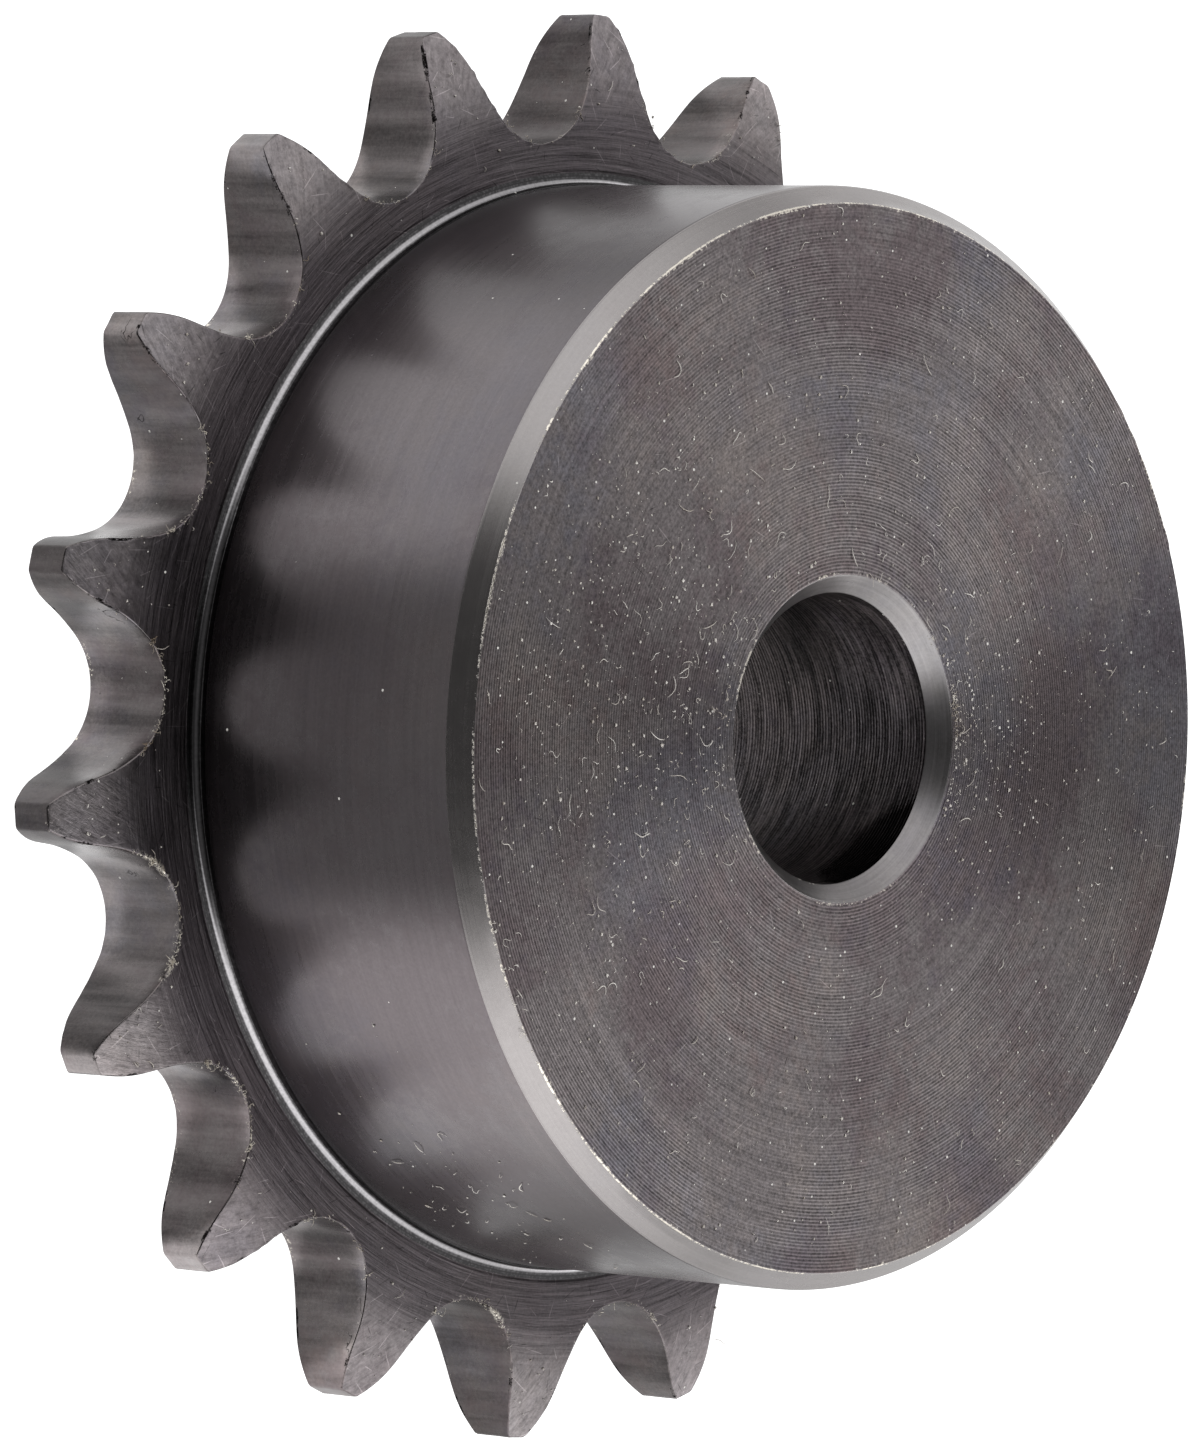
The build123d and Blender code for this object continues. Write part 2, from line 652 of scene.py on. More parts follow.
def stray_scratches() -> bpy.types.NodeTree:
    """Single short scratches that lie every way across a flat surface.

    Space is divided into cells about random points, and Share of them hold a scratch. With d
    the level way from the cell's point and u a level unit vector at the cell's own random
    angle, it is where |d - (d.u)u| is under Width * (1 - |d.u| / reach), and its reach is a
    random share of Length.

    Returns:
        The group. Light and Dark run from 0 to 1.
    """
    inputs = {"Spacing": 0.0014, "Width": 0.000032, "Length": 0.0012, "Share": 0.5}
    tree, nodes, start, end = new_group("stray_scratches", inputs, ("Light", "Dark"))
    place = nodes.place()
    cells, (first, second, third) = nodes.cells(place, start["Spacing"])
    angle = nodes.math("MULTIPLY", first, 2 * pi)
    east, north, _ = nodes.apart(nodes.vector("SUBTRACT", place, cells["Position"]))
    cosine, sine = nodes.math("COSINE", angle), nodes.math("SINE", angle)
    along = nodes.math("MULTIPLY_ADD", north, sine, nodes.math("MULTIPLY", east, cosine))
    across = nodes.math("SUBTRACT", nodes.math("MULTIPLY", north, cosine),
                        nodes.math("MULTIPLY", east, sine))
    reach = nodes.math("MULTIPLY", start["Length"], nodes.math("MULTIPLY_ADD", second, 0.8, 0.2))
    spent = nodes.math("DIVIDE", nodes.math("ABSOLUTE", along), reach)
    width = nodes.math("MULTIPLY", start["Width"], nodes.math("SUBTRACT", 1.0, spent, clamp=True))
    line = nodes.math("LESS_THAN", nodes.math("ABSOLUTE", across), width)
    held = nodes.math("LESS_THAN", third, start["Share"])
    line = nodes.math("MULTIPLY", line, held)
    light = nodes.math("GREATER_THAN", second, 0.5)
    nodes.feed(end["Light"], nodes.math("MULTIPLY", line, light))
    nodes.feed(end["Dark"], nodes.math("MULTIPLY", line, nodes.math("SUBTRACT", 1.0, light)))
    return tree


def edge_wear() -> bpy.types.NodeTree:
    """What happens along an edge: bright crumbs of burr, and a dark torn line.

    The mesh's edge attribute is the distance from the nearest edge that wears, in millimetres.
    A crumb is where fine noise is high within about Reach of the edge, mostly below the radius
    where the teeth begin. The torn line lies within about half of Reach, mostly above that
    radius. Longer waves along the edge switch both on and off.

    Returns:
        The group. Bright and Torn run from 0 to 1.
    """
    teeth_begin, jitter_scale, spell_scale, bit_scale = (0.0365, 0.0340), 2600.0, 260.0, 5200.0
    torn_scale, torn_turn, crumb_edges, torn_edges = 420.0, (60, 20, 110), (2.2, 0.9), (1.3, 0.7)
    inputs = {"Reach": 0.15, "Crumbs": 0.5, "Tears": 0.3}
    tree, nodes, start, end = new_group("edge_wear", inputs, ("Bright", "Torn"))
    place = nodes.place()
    radius, _ = nodes.polar(place)
    low = nodes.span(radius, *teeth_begin)
    edge = nodes.add("Attribute", attribute_name=EDGE).outputs["Fac"]
    jitter = nodes.noise(place, jitter_scale, 4.0, 0.8)
    near = nodes.math("DIVIDE", edge, nodes.math("MULTIPLY", start["Reach"], jitter))

    spell = nodes.noise(place, spell_scale, 3.0, 0.6)
    bits = nodes.noise(place, bit_scale, 3.0, 0.7)
    mixed = nodes.math("MULTIPLY_ADD", spell, 0.5, nodes.math("MULTIPLY", bits, 0.5))
    wanted = nodes.math("MULTIPLY", start["Crumbs"], nodes.math("MULTIPLY_ADD", low, 0.7, 0.3))
    least = nodes.math("MULTIPLY_ADD", wanted, -0.3, 0.66)
    chosen = nodes.span(mixed, least, nodes.math("ADD", least, 0.05))
    nodes.feed(end["Bright"], nodes.math("MULTIPLY", nodes.span(near, *crumb_edges), chosen))

    torn_spell = nodes.noise(nodes.stretch(place, UNSTRETCHED, torn_turn), torn_scale, 5.0, 0.8)
    torn_wanted = nodes.math("MULTIPLY_ADD", low, -0.5, 1.0)
    torn_wanted = nodes.math("MULTIPLY", start["Tears"], torn_wanted)
    torn_least = nodes.math("MULTIPLY_ADD", torn_wanted, -0.4, 0.7)
    torn = nodes.span(torn_spell, torn_least, nodes.math("ADD", torn_least, 0.06))
    nodes.feed(end["Torn"], nodes.math("MULTIPLY", nodes.span(near, *torn_edges), torn))
    return tree


def fine_dust() -> bpy.types.NodeTree:
    """Specks too small to be modelled: cells of which some hold a speck of their own size.

    Space is divided into cells of one size about random points, and Share of them hold a
    speck. It is where the distance from the cell's point is under a random share of Size.

    Returns:
        The group. Mask runs from 0 to 1.
    """
    inputs = {"Spacing": 0.0008, "Size": 0.00008, "Share": 0.3}
    tree, nodes, start, end = new_group("fine_dust", inputs, ("Mask",))
    cells, (first, second, _) = nodes.cells(nodes.place(), start["Spacing"])
    distance = nodes.math("MULTIPLY", cells["Distance"], start["Spacing"])
    inside = nodes.math("LESS_THAN", distance, nodes.math("MULTIPLY", first, start["Size"]))
    held = nodes.math("LESS_THAN", second, start["Share"])
    nodes.feed(end["Mask"], nodes.math("MULTIPLY", inside, held))
    return tree


class Effects:
    """The node groups that several finishes share, each built once."""

    def __init__(self) -> None:
        """Builds the groups."""
        self.turning = turning_marks()
        self.cast = oxide_cast()
        self.skin = plate_skin()
        self.streaks = cutter_streaks()
        self.scratches = stray_scratches()
        self.wear = edge_wear()
        self.dust = fine_dust()


# Finishes


def new_material(name: str) -> tuple[bpy.types.Material, Nodes, bpy.types.Node]:
    """Starts a material with one Principled shader.

    Args:
        name: The material's name.

    Returns:
        The material, its Nodes and its shader.
    """
    material = bpy.data.materials.new(name)
    material.use_nodes = True
    material.node_tree.nodes.clear()
    nodes = Nodes(material.node_tree)
    shader = nodes.add("BsdfPrincipled")
    out = nodes.add("OutputMaterial")
    material.node_tree.links.new(shader.outputs[0], out.inputs["Surface"])
    return material, nodes, shader


class Marks(Enum):
    """What kind of tool marks a surface has."""

    TURNED = "turned"
    PLATE = "plate"
    CUT = "cut"


class ToolMarks(NamedTuple):
    """What a group of tool marks gives: its height in metres, and shares without a unit."""

    height: Feed
    tone: Feed
    ring: Feed = 0.0
    outer: Feed = 0.0
    crack: Feed = 0.0


@dataclass(frozen=True)
class Stain:
    """A stain with a ragged border: glossy black oil, or a duller and paler bloom.

    The middle, the reach and soft, the width of the border, are in millimetres. Shade is what
    the colour is multiplied by, and roughness is that of the stain.
    """

    middle: tuple[float, float, float]
    reach: float
    shade: float = 0.22
    roughness: float = 0.12
    soft: float = 0.4


@dataclass(frozen=True)
class PaintedShadeLine:
    """A line of painted shade round the axis: its radius and half width in millimetres, and what
    it adds to the shade.
    """

    radius: float
    half: float
    shade: float


@dataclass(frozen=True)
class BlackSteel:
    """Blackened steel: a thin dark oxide that mirrors a little, over the marks of its tool.

    Colours are linear. Pitch, depth, wander, relief, reach and the last three are in
    millimetres, and fineness is in waves to one. Across and along say how the grooves' travel
    runs with the radius and with the height. Tone, grain and the scratches change the shade, and
    so do ring, which is painted shade in the grooves' bottoms and painted light on their ridges,
    and the lines, which are painted shade; the shade is never below darkest. Crumbs, tears, dust
    and scratches run from 0 to 1. A matte stain is where the grooves' bumps are flattened and
    their painted shade is weakened, down to its shade.
    """

    name: str
    tint: Colour
    roughness: float
    marks: Marks = Marks.TURNED
    inner_tint: Colour | None = None
    across: float = 0.0
    along: float = 0.0
    pitch: float = 0.19
    depth: float = 0.004
    wander: float = 0.02
    pieces: float = 1.0
    tone: float = 0.35
    ring: float = 0.0
    grain: float = 0.8
    darkest: float = 0.3
    cast: float = 0.4
    cast_size: float = 1.0
    anisotropy: float = 0.0
    relief: float = 0.004
    crumbs: float = 0.3
    tears: float = 0.1
    reach: float = 0.12
    dust: float = 0.2
    scratches: float = 0.0
    fineness: float = 9.0
    stains: tuple[Stain, ...] = ()
    matte: Stain | None = None
    painted_shade_lines: tuple[PaintedShadeLine, ...] = ()
    warm: Colour = (0.78, 0.72, 0.74)
    cool: Colour = (0.90, 0.95, 1.04)
    pale: Colour = (1.26, 1.23, 1.17)
    scratch_light: float = 0.7
    scratch_dark: float = 0.45
    tone_roughness: float = 0.12
    brown_roughness: float = 0.05
    torn_depth: float = 0.03
    crumb_height: float = 0.02
    grain_height: float = 0.0012

    def material(self, effects: Effects) -> bpy.types.Material:
        """Builds the material.

        Args:
            effects: The shared node groups.

        Returns:
            The material.
        """
        material, nodes, shader = new_material(self.name)
        height, tone, ring, outer, crack = self._tool_marks(nodes, effects)
        cast = nodes.group(effects.cast, Size=self.cast_size).outputs
        wear = nodes.group(effects.wear, Reach=self.reach, Crumbs=self.crumbs, Tears=self.tears)
        dust = nodes.group(effects.dust, Share=self.dust).outputs["Mask"]
        tint = opaque(self.tint)
        if self.inner_tint:
            tint = nodes.blend(outer, self.inner_tint, self.tint)

        grain = nodes.math("SUBTRACT", cast["Grain"], 0.5)
        shade = nodes.math("MULTIPLY_ADD", nodes.math("SUBTRACT", tone, 0.5), self.tone, 1.0)
        shade = nodes.math("MULTIPLY_ADD", grain, self.grain, shade)
        if self.scratches:
            stray = nodes.group(effects.scratches, Share=self.scratches).outputs
            shade = nodes.math("MULTIPLY_ADD", stray["Light"], self.scratch_light, shade)
            shade = nodes.math("MULTIPLY_ADD", stray["Dark"], -self.scratch_dark, shade)
        # A matte stain flattens the grooves' bumps and weakens their painted groove shade.
        if self.matte:
            clear = nodes.level(self._stained(nodes, self.matte), 1.0, self.matte.shade)
            ring = nodes.math("MULTIPLY", ring, clear)
            height = nodes.math("MULTIPLY", height, clear)
        # Painted groove shade, lighter on the ridges and darker in the grooves' bottoms.
        shade = nodes.math("MULTIPLY_ADD", ring, self.ring, shade)
        # Lines of painted shade.
        shade = self._add_painted_shade_lines(nodes, shade)
        colour = tint
        for title, cloud in (("Brown", self.warm), ("Blue", self.cool), ("Pale", self.pale)):
            share = nodes.math("MULTIPLY", cast[title], self.cast)
            colour = nodes.tinted(colour, nodes.blend(share, WHITE, cloud))
        colour = nodes.scaled(colour, nodes.math("MAXIMUM", shade, self.darkest))
        torn = nodes.math("MAXIMUM", wear.outputs["Torn"], crack)
        colour = nodes.blend(torn, colour, TORN)
        colour = nodes.blend(wear.outputs["Bright"], colour, BARE)

        rough = nodes.math("MULTIPLY_ADD", nodes.math("SUBTRACT", tone, 0.5),
                           self.tone_roughness, self.roughness)
        rough = nodes.math("MULTIPLY_ADD", cast["Brown"], self.brown_roughness, rough)
        rough = nodes.level(torn, rough, DULL)
        for stain in self.stains:
            share = self._stained(nodes, stain)
            factor = nodes.blend(share, WHITE, (stain.shade,) * 3)
            colour = nodes.tinted(colour, factor)
            rough = nodes.level(share, rough, stain.roughness)
        nodes.feed(shader.inputs["Base Color"], nodes.blend(dust, colour, GRIT))
        nodes.feed(shader.inputs["Roughness"], nodes.level(dust, rough, DULL))
        nodes.feed(shader.inputs["Metallic"], nodes.math("SUBTRACT", 1.0, dust, clamp=True))

        for share, depth in ((torn, -self.torn_depth), (wear.outputs["Bright"], self.crumb_height),
                             (grain, self.grain_height)):
            height = nodes.math("MULTIPLY_ADD", share, depth * MM, height)
        nodes.bump(shader, height)
        if self.anisotropy:
            shader.inputs["Anisotropic"].default_value = self.anisotropy
            shader.inputs["Anisotropic Rotation"].default_value = QUARTER_TURN
            round_axis = nodes.add("Tangent", direction_type="RADIAL", axis="Z")
            nodes.feed(shader.inputs["Tangent"], round_axis.outputs[0])
        return material

    def _tool_marks(self, nodes: Nodes, effects: Effects) -> ToolMarks:
        """Places the group of the surface's tool marks.

        Args:
            nodes: The material's nodes.
            effects: The shared node groups.

        Returns:
            What the group gives.
        """
        if self.marks is Marks.TURNED:
            marks = nodes.group(effects.turning, Across=self.across, Along=self.along,
                                Pitch=self.pitch * MM, Depth=self.depth * MM,
                                Wander=self.wander * MM, Pieces=self.pieces,
                                Fineness=self.fineness / MM).outputs
            return ToolMarks(marks["Height"], marks["Tone"], ring=marks["Ring"])
        cut = self.marks is Marks.CUT
        marks = nodes.group(effects.streaks if cut else effects.skin).outputs
        height = nodes.math("MULTIPLY", marks["Height"], self.relief * MM)
        if cut:
            return ToolMarks(height, marks["Tone"], crack=marks["Crack"])
        return ToolMarks(height, marks["Tone"], outer=marks["Outer"])

    def _add_painted_shade_lines(self, nodes: Nodes, shade: Socket) -> Socket:
        """The shade with that of every line of painted shade added within its half width.

        Args:
            nodes: The material's nodes.
            shade: The shade so far.

        Returns:
            The new shade.
        """
        if not self.painted_shade_lines:
            return shade
        core = 0.4
        radius, _ = nodes.polar(nodes.place())
        for line in self.painted_shade_lines:
            off = nodes.math("ABSOLUTE", nodes.math("SUBTRACT", radius, line.radius * MM))
            on = nodes.span(off, line.half * MM, line.half * core * MM, smooth=True)
            shade = nodes.math("MULTIPLY_ADD", on, line.shade, shade)
        return shade

    def _stained(self, nodes: Nodes, stain: Stain) -> Socket:
        """Where a stain is: within its reach of its middle, with a ragged border.

        Args:
            nodes: The material's nodes.
            stain: The stain.

        Returns:
            The share of stain, from 0 to 1.
        """
        border_scale, raggedness = 420.0, 3.0
        place = nodes.place()
        away = nodes.vector("DISTANCE", place, tuple(c * MM for c in stain.middle))
        ragged = nodes.noise(place, border_scale, 4.0, 0.7)
        ragged = nodes.math("MULTIPLY_ADD", ragged, raggedness * MM, away)
        end = (stain.reach + raggedness / 2) * MM
        return nodes.span(ragged, end, end - stain.soft * MM)


@dataclass(frozen=True)
class Fluff:
    """Pale textile fibre, dust or bare burr, a little different from one place to the next."""

    name: str
    pale: Colour
    dark: Colour
    metallic: float = 0.0

    def material(self) -> bpy.types.Material:
        """Builds the material.

        Returns:
            The material.
        """
        material, nodes, shader = new_material(self.name)
        tone_scale, rough_scale, bump_scale, bump_height = 350.0, 4000.0, 30000.0, 0.01
        place = nodes.place()
        share = nodes.span(nodes.noise(place, tone_scale, 3.0), 0.35, 0.65)
        nodes.feed(shader.inputs["Base Color"], nodes.blend(share, self.dark, self.pale))
        rough = nodes.noise(place, rough_scale, 2.0)
        nodes.feed(shader.inputs["Roughness"], nodes.math("MULTIPLY_ADD", rough, 0.3, 0.6))
        nodes.bump(shader, nodes.noise(place, bump_scale, 2.0), bump_height * MM)
        shader.inputs["Metallic"].default_value = self.metallic
        return material


# The sprocket


class Zone(IntEnum):
    """The surfaces of the sprocket, in the order of their material slots."""

    PLATE = 0
    FILLET = 1
    SIDE = 2
    CHAMFER = 3
    FACE = 4
    BORE_CHAMFER = 5
    BORE = 6
    BACK = 7
    CHEEK = 8
    FLANK = 9


DIAGONAL = 0.7071

# The plate's line is painted shade just outside the hub's fillet.
PLATE_STEEL = BlackSteel(
    "plate_steel", (0.258, 0.235, 0.239), 0.34, marks=Marks.PLATE,
    inner_tint=(0.130, 0.116, 0.123), relief=0.045, tone=1.1, cast=0.35, anisotropy=0.3,
    crumbs=0.32, tears=0.35, reach=0.26, scratches=0.8, painted_shade_lines=(PaintedShadeLine(30.93, 0.14, -0.40),))
# Ring, in each finish, is how strong its painted groove shade is.
FINISHES: dict[Zone, BlackSteel] = {
    Zone.PLATE: PLATE_STEEL,
    # The fillet's lines are painted shade that narrows its bright reflected ring.
    Zone.FILLET: BlackSteel(
        "fillet_steel", (0.35, 0.34, 0.35), 0.07, across=0.7, along=-0.7, pitch=0.34,
        depth=0.001, wander=0.0, tone=0.3, cast=0.1, crumbs=0.0, tears=0.0, dust=0.05,
        darkest=0.12, painted_shade_lines=(
            PaintedShadeLine(30.18, 0.16, -0.85), PaintedShadeLine(30.60, 0.15, -0.80), PaintedShadeLine(30.86, 0.24, -0.88))),
    Zone.SIDE: BlackSteel(
        "hub_side_steel", (0.125, 0.1125, 0.117), 0.25, along=1.0, pitch=0.11, depth=0.0004,
        pieces=2.0, fineness=3.0, tone=0.4, grain=0.4, cast=0.45, cast_size=1.3, anisotropy=0.35,
        crumbs=0.0, tears=0.0, dust=0.10),
    Zone.CHAMFER: BlackSteel(
        "hub_chamfer_steel", (0.300, 0.283, 0.280), 0.23, across=DIAGONAL, along=-DIAGONAL,
        pitch=0.12, depth=0.0004, tone=0.25, grain=0.2, cast=0.12, crumbs=0.60, tears=0.0,
        reach=0.055),
    # The face's matte stain weakens its painted groove shade and flattens its bumps on one side of
    # the face.
    Zone.FACE: BlackSteel(
        "hub_face_steel", (0.216, 0.194, 0.197), 0.32, across=1.0, pitch=0.188, depth=0.010,
        fineness=4.3, ring=1.0, tone=0.9, grain=2.0, cast=1.15, anisotropy=0.85, crumbs=0.30,
        tears=0.0, reach=0.08, dust=0.8, scratches=0.06,
        matte=Stain((18.0, 11.0, 25.5), 15.0, shade=0.45, soft=12.0)),
    Zone.BORE_CHAMFER: BlackSteel(
        "bore_chamfer_steel", (0.250, 0.238, 0.237), 0.29, across=DIAGONAL, along=DIAGONAL,
        pitch=0.12, depth=0.0004, tone=0.8, fineness=5.0, grain=0.4, cast=0.3, crumbs=0.15,
        reach=0.10),
    Zone.BORE: BlackSteel(
        "bore_steel", (0.077, 0.067, 0.067), 0.46, along=1.0, pitch=0.21, depth=0.016,
        wander=0.06, pieces=2.4, fineness=4.6, tone=6.0, ring=0.4, grain=3.0, darkest=0.3,
        cast=0.8, crumbs=0.2, tears=0.2,
        stains=(
            Stain((-7.5, -2.6, 26.2), 5.1, shade=0.3, roughness=0.12, soft=1.0),
            Stain((3.6, -7.1, 22.5), 5.0, shade=2.8, roughness=0.5, soft=2.5))),
    Zone.BACK: BlackSteel(
        "back_steel", (0.180, 0.160, 0.160), 0.32, across=1.0, pitch=0.21, depth=0.007,
        fineness=5.3, ring=0.6, tone=0.8, grain=1.2, cast=0.8, anisotropy=0.85,
        scratches=0.15),
    Zone.CHEEK: PLATE_STEEL,
    Zone.FLANK: BlackSteel(
        "tooth_flank_steel", (0.158, 0.143, 0.143), 0.25, marks=Marks.CUT, relief=0.0016,
        tone=0.85, cast=0.8, cast_size=0.6, crumbs=0.30, tears=0.4, reach=0.20),
}


@dataclass
class ToothForm:
    """The standard tooth outline of a roller-chain sprocket, in millimetres.

    Each side of a gap is a seat arc for the roller, a working arc, a short straight flank and a
    topping arc, and the outside diameter cuts the tooth off.
    """

    teeth: int
    pitch_radius: float
    roller: float
    tip_radius: float
    columns: int
    seat_play: float = 0.076
    seat_share: float = 1.005
    working_share: float = 0.8
    topping_share: float = 1.4
    corner_reach: float = 0.05

    def half_gap(self, count: int = 160) -> Array:
        """One side of the gap that is centred on +X, from its lowest point to the tooth's middle.

        A point beyond the tip circle is drawn in to it along its radius, which gives the land.

        Args:
            count: How many points each arc has.

        Returns:
            The points in order.
        """
        pitch = 2 * self.pitch_radius * sin(pi / self.teeth)
        half = 180 / self.teeth
        seat_end = 35 + 60 / self.teeth
        working_angle = 18 - 56 / self.teeth
        flank = seat_end - working_angle
        seat_centre = np.array([self.pitch_radius, 0.0])
        seat_radius = (self.seat_share * self.roller + self.seat_play) / 2
        offset = self.working_share * self.roller
        working_centre = seat_centre - offset * turn(radians(90 + seat_end))
        working_radius = offset + seat_radius
        topping_offset = self.topping_share * self.roller
        topping_centre = seat_centre + topping_offset * turn(radians(90 + half))
        apart = topping_centre - working_centre
        topping_radius = float(apart @ turn(radians(90 + flank))) - working_radius
        middle = np.degrees(np.arcsin((topping_offset - pitch / 2) / topping_radius))
        end = half - middle
        points = np.concatenate([
            arc(seat_centre, seat_radius, 180, seat_end - 90, count),
            arc(working_centre, working_radius, 90 + seat_end, -working_angle, count)[1:],
            arc(topping_centre, topping_radius, flank - 90, end + 90 - flank, count),
        ])
        radius = np.linalg.norm(points, axis=1, keepdims=True)
        return points * np.minimum(1.0, self.tip_radius / radius)

    def outline(self) -> Array:
        """The closed outline in equal steps of length, from the middle of the tooth on +X.

        The gap's two sides are joined, turned to each gap's place and measured off by length,
        and then the corners are softened a little.

        Returns:
            Points in order, anticlockwise.
        """
        side = self.half_gap()
        gap = np.concatenate([side[::-1] * (1, -1), side[1:]])
        centres = (np.arange(self.teeth) + 0.5) * 2 * pi / self.teeth
        spin = np.stack([turn(centres), turn(centres + pi / 2)], -1)
        line = np.einsum("tij,pj->tpi", spin, gap[:-1]).reshape(-1, 2)
        line = np.concatenate([line, line[:1]])
        length = np.concatenate([[0], np.cumsum(np.linalg.norm(np.diff(line, axis=0), axis=1))])
        fine = 8
        spots = np.linspace(0, length[-1], self.teeth * self.columns * fine, endpoint=False)
        even = np.stack([np.interp(spots, length, line[:, k]) for k in (0, 1)], -1)
        stride = length[-1] / len(spots)
        return smooth_ring(even, self.corner_reach / stride)[::fine]


@dataclass
class Sprocket:
    """The whole sprocket as one closed skin: two grids, and a strip of triangles at each seam.

    The hub's grid is a half section turned about the axis. The rim's grid is a section of the
    plate carried along the tooth outline. Sizes are in millimetres. At a seam the fine ring has
    share points for each point of the coarse one. Corner_scales are the rounds of the corners
    after the fillet, as multiples of edge_round. Supports lie beside a corner, within run_share
    of the run or end_share of the first and last. Burr_share is how much of the burr the rings
    before the flank take, of which burr_lean points outwards, and chew_sink is how much of a
    chewed bit is missing in height.
    """

    height: float = CAD_BOX[1][2] / MM
    tip_radius: float = CAD_BOX[1][0] / MM
    bore_radius: float = BORE["r_mm"]
    bore_length: float = BORE["length_mm"]
    plate: float = 2 * MOUNTS["chain_teeth"]["pos_m"][2] / MM
    hub_radius: float = 30.165
    hub_chamfer: tuple[float, float] = (1.0, 1.13)
    fillet: float = 0.7
    foot_groove: tuple[float, float] = (0.12, 0.03)
    groove_inner: float = 0.35
    relief_height: float = 6.65
    relief_radius: float = 14.5
    seam_radius: float = 31.25
    seam_gap: float = 0.15
    hub_columns: int = 504
    share: int = 4
    edge_round: float = 0.06
    corner_scales: tuple[float, ...] = (2.0, 1.0, 1.4, 1.0, 1.0, 1.4)
    rim_round: float = 0.09
    bend_points: int = 5
    supports: tuple[float, ...] = (1.0, 0.06)
    run_share: float = 0.45
    end_share: float = 0.95
    farthest: float = 1.5
    flank_share: float = 0.7
    normal_blur: float = 2.0
    cheek_inset: float = 0.45
    cheek_rings: tuple[float, ...] = (0.0, 0.25, 0.5, 0.75, 1.0)
    closer_rings: tuple[float, ...] = (0.28, 0.16)
    burr_share: tuple[float, ...] = (0.1, 0.35, 0.8, 1.0, 0.7, 0.3)
    wall_rings: int = 5
    wall_wave: float = 0.006
    burr_height: float = 0.03
    rim_burr: float = 0.035
    rim_chew: float = 0.016
    burr_lean: tuple[float, float] = (0.6, 0.4)  # front, back
    chew_sink: tuple[float, float] = (0.7, 0.6)  # front, back
    form: ToothForm = field(init=False)

    def __post_init__(self) -> None:
        """Works out the tooth form."""
        teeth = TEETH["count"]
        columns = self.hub_columns * self.share // teeth
        self.form = ToothForm(
            teeth, TEETH["pcd_mm"] / 2, 2 * TEETH["r_mm"], self.tip_radius, columns)

    def drop(self, radius: Array) -> Array:
        """How far the side relief lies below the plate's face: R - sqrt(R^2 - (r - start)^2)."""
        past = np.clip(radius - (self.tip_radius - self.relief_height), 0.0, None)
        return self.relief_radius - np.sqrt(self.relief_radius**2 - past**2)

    def section(self) -> tuple[Array, Array, Array]:
        """Half section, from the front seam over the hub, down the bore and out to the back seam.

        Each corner becomes a small arc, (1-t)^2 A + 2t(1-t) C + t^2 B between points A and B on
        its two sides, and gets points of support beside it, which keep the flats flat.

        Returns:
            The points as (radius, height), the zone of the run after each point, and each
            point's distance from the nearest corner that wears, which the fillet and the lower
            edge of the hub's chamfer don't.
        """
        chamfer = (self.height - self.bore_length) / 2
        wide, deep = self.hub_chamfer
        bore, hub, top = self.bore_radius, self.hub_radius, self.height
        seam = self.seam_radius - self.seam_gap
        corners = np.array([
            (seam, self.plate), (hub, self.plate), (hub, top - deep), (hub - wide, top),
            (bore + chamfer, top), (bore, top - chamfer), (bore, chamfer),
            (bore + chamfer, 0.0), (seam, 0.0)])
        zones = (Zone.PLATE, Zone.SIDE, Zone.CHAMFER, Zone.FACE, Zone.BORE_CHAMFER, Zone.BORE,
                 Zone.BORE_CHAMFER, Zone.BACK)
        cut = np.array([self.fillet, *(self.edge_round * k for k in self.corner_scales)])
        steps = np.diff(corners, axis=0)
        run = np.linalg.norm(steps, axis=1)
        heading = steps / run[:, None]
        corner = corners[1:-1]

        t = np.linspace(0, 1, self.bend_points)[None, :, None]
        first = (corner - heading[:-1] * cut[:, None])[:, None]
        last = (corner + heading[1:] * cut[:, None])[:, None]
        bend = (1 - t) ** 2 * first + 2 * t * (1 - t) * corner[:, None] + t**2 * last

        shared = np.full(len(run), self.run_share)
        shared[[0, -1]] = self.end_share
        room = shared * run
        space = np.array(self.supports)
        share = space / space.max()
        back = np.minimum(space, (room[:-1] - cut)[:, None] * share)
        ahead = np.minimum(space, (room[1:] - cut)[:, None] * share)
        lead = first - heading[:-1][:, None] * back[..., None]
        trail = (last + heading[1:][:, None] * ahead[..., None])[:, ::-1]
        points = np.concatenate([lead, bend, trail], 1)

        before, after = np.array(zones[:-1])[:, None], np.array(zones[1:])[:, None]
        count = len(space)
        kind = np.concatenate([
            np.repeat(before, count + 2, 1), np.repeat(after, count + self.bend_points - 2, 1)], 1)
        kind[0, count : count + self.bend_points - 1] = Zone.FILLET
        away = np.concatenate([back, np.zeros((len(cut), self.bend_points)), ahead[:, ::-1]], 1)
        away[:2] = self.farthest
        points, kind, away = points.reshape(-1, 2), kind.ravel(), away.ravel()
        points[:count] = self._foot_groove(count)
        points = np.concatenate([corners[:1], points, corners[-1:]])
        kinds = np.concatenate([[zones[0]], kind, [zones[-1]]])
        away = np.concatenate([[self.farthest], away, [self.farthest]])
        return points, kinds, np.minimum(away, self.farthest)

    def _foot_groove(self, count: int) -> Array:
        """The fine groove that the turning tool leaves where the fillet runs out on the plate.

        Args:
            count: How many points it takes.

        Returns:
            The points as (radius, height), from the outer edge inwards.
        """
        edge = self.hub_radius + self.fillet
        width, depth = self.foot_groove
        outwards = np.linspace(width, self.groove_inner * width, count)
        dip = np.linspace(0.0, depth, count)
        return np.stack([edge + outwards, self.plate - dip], -1)

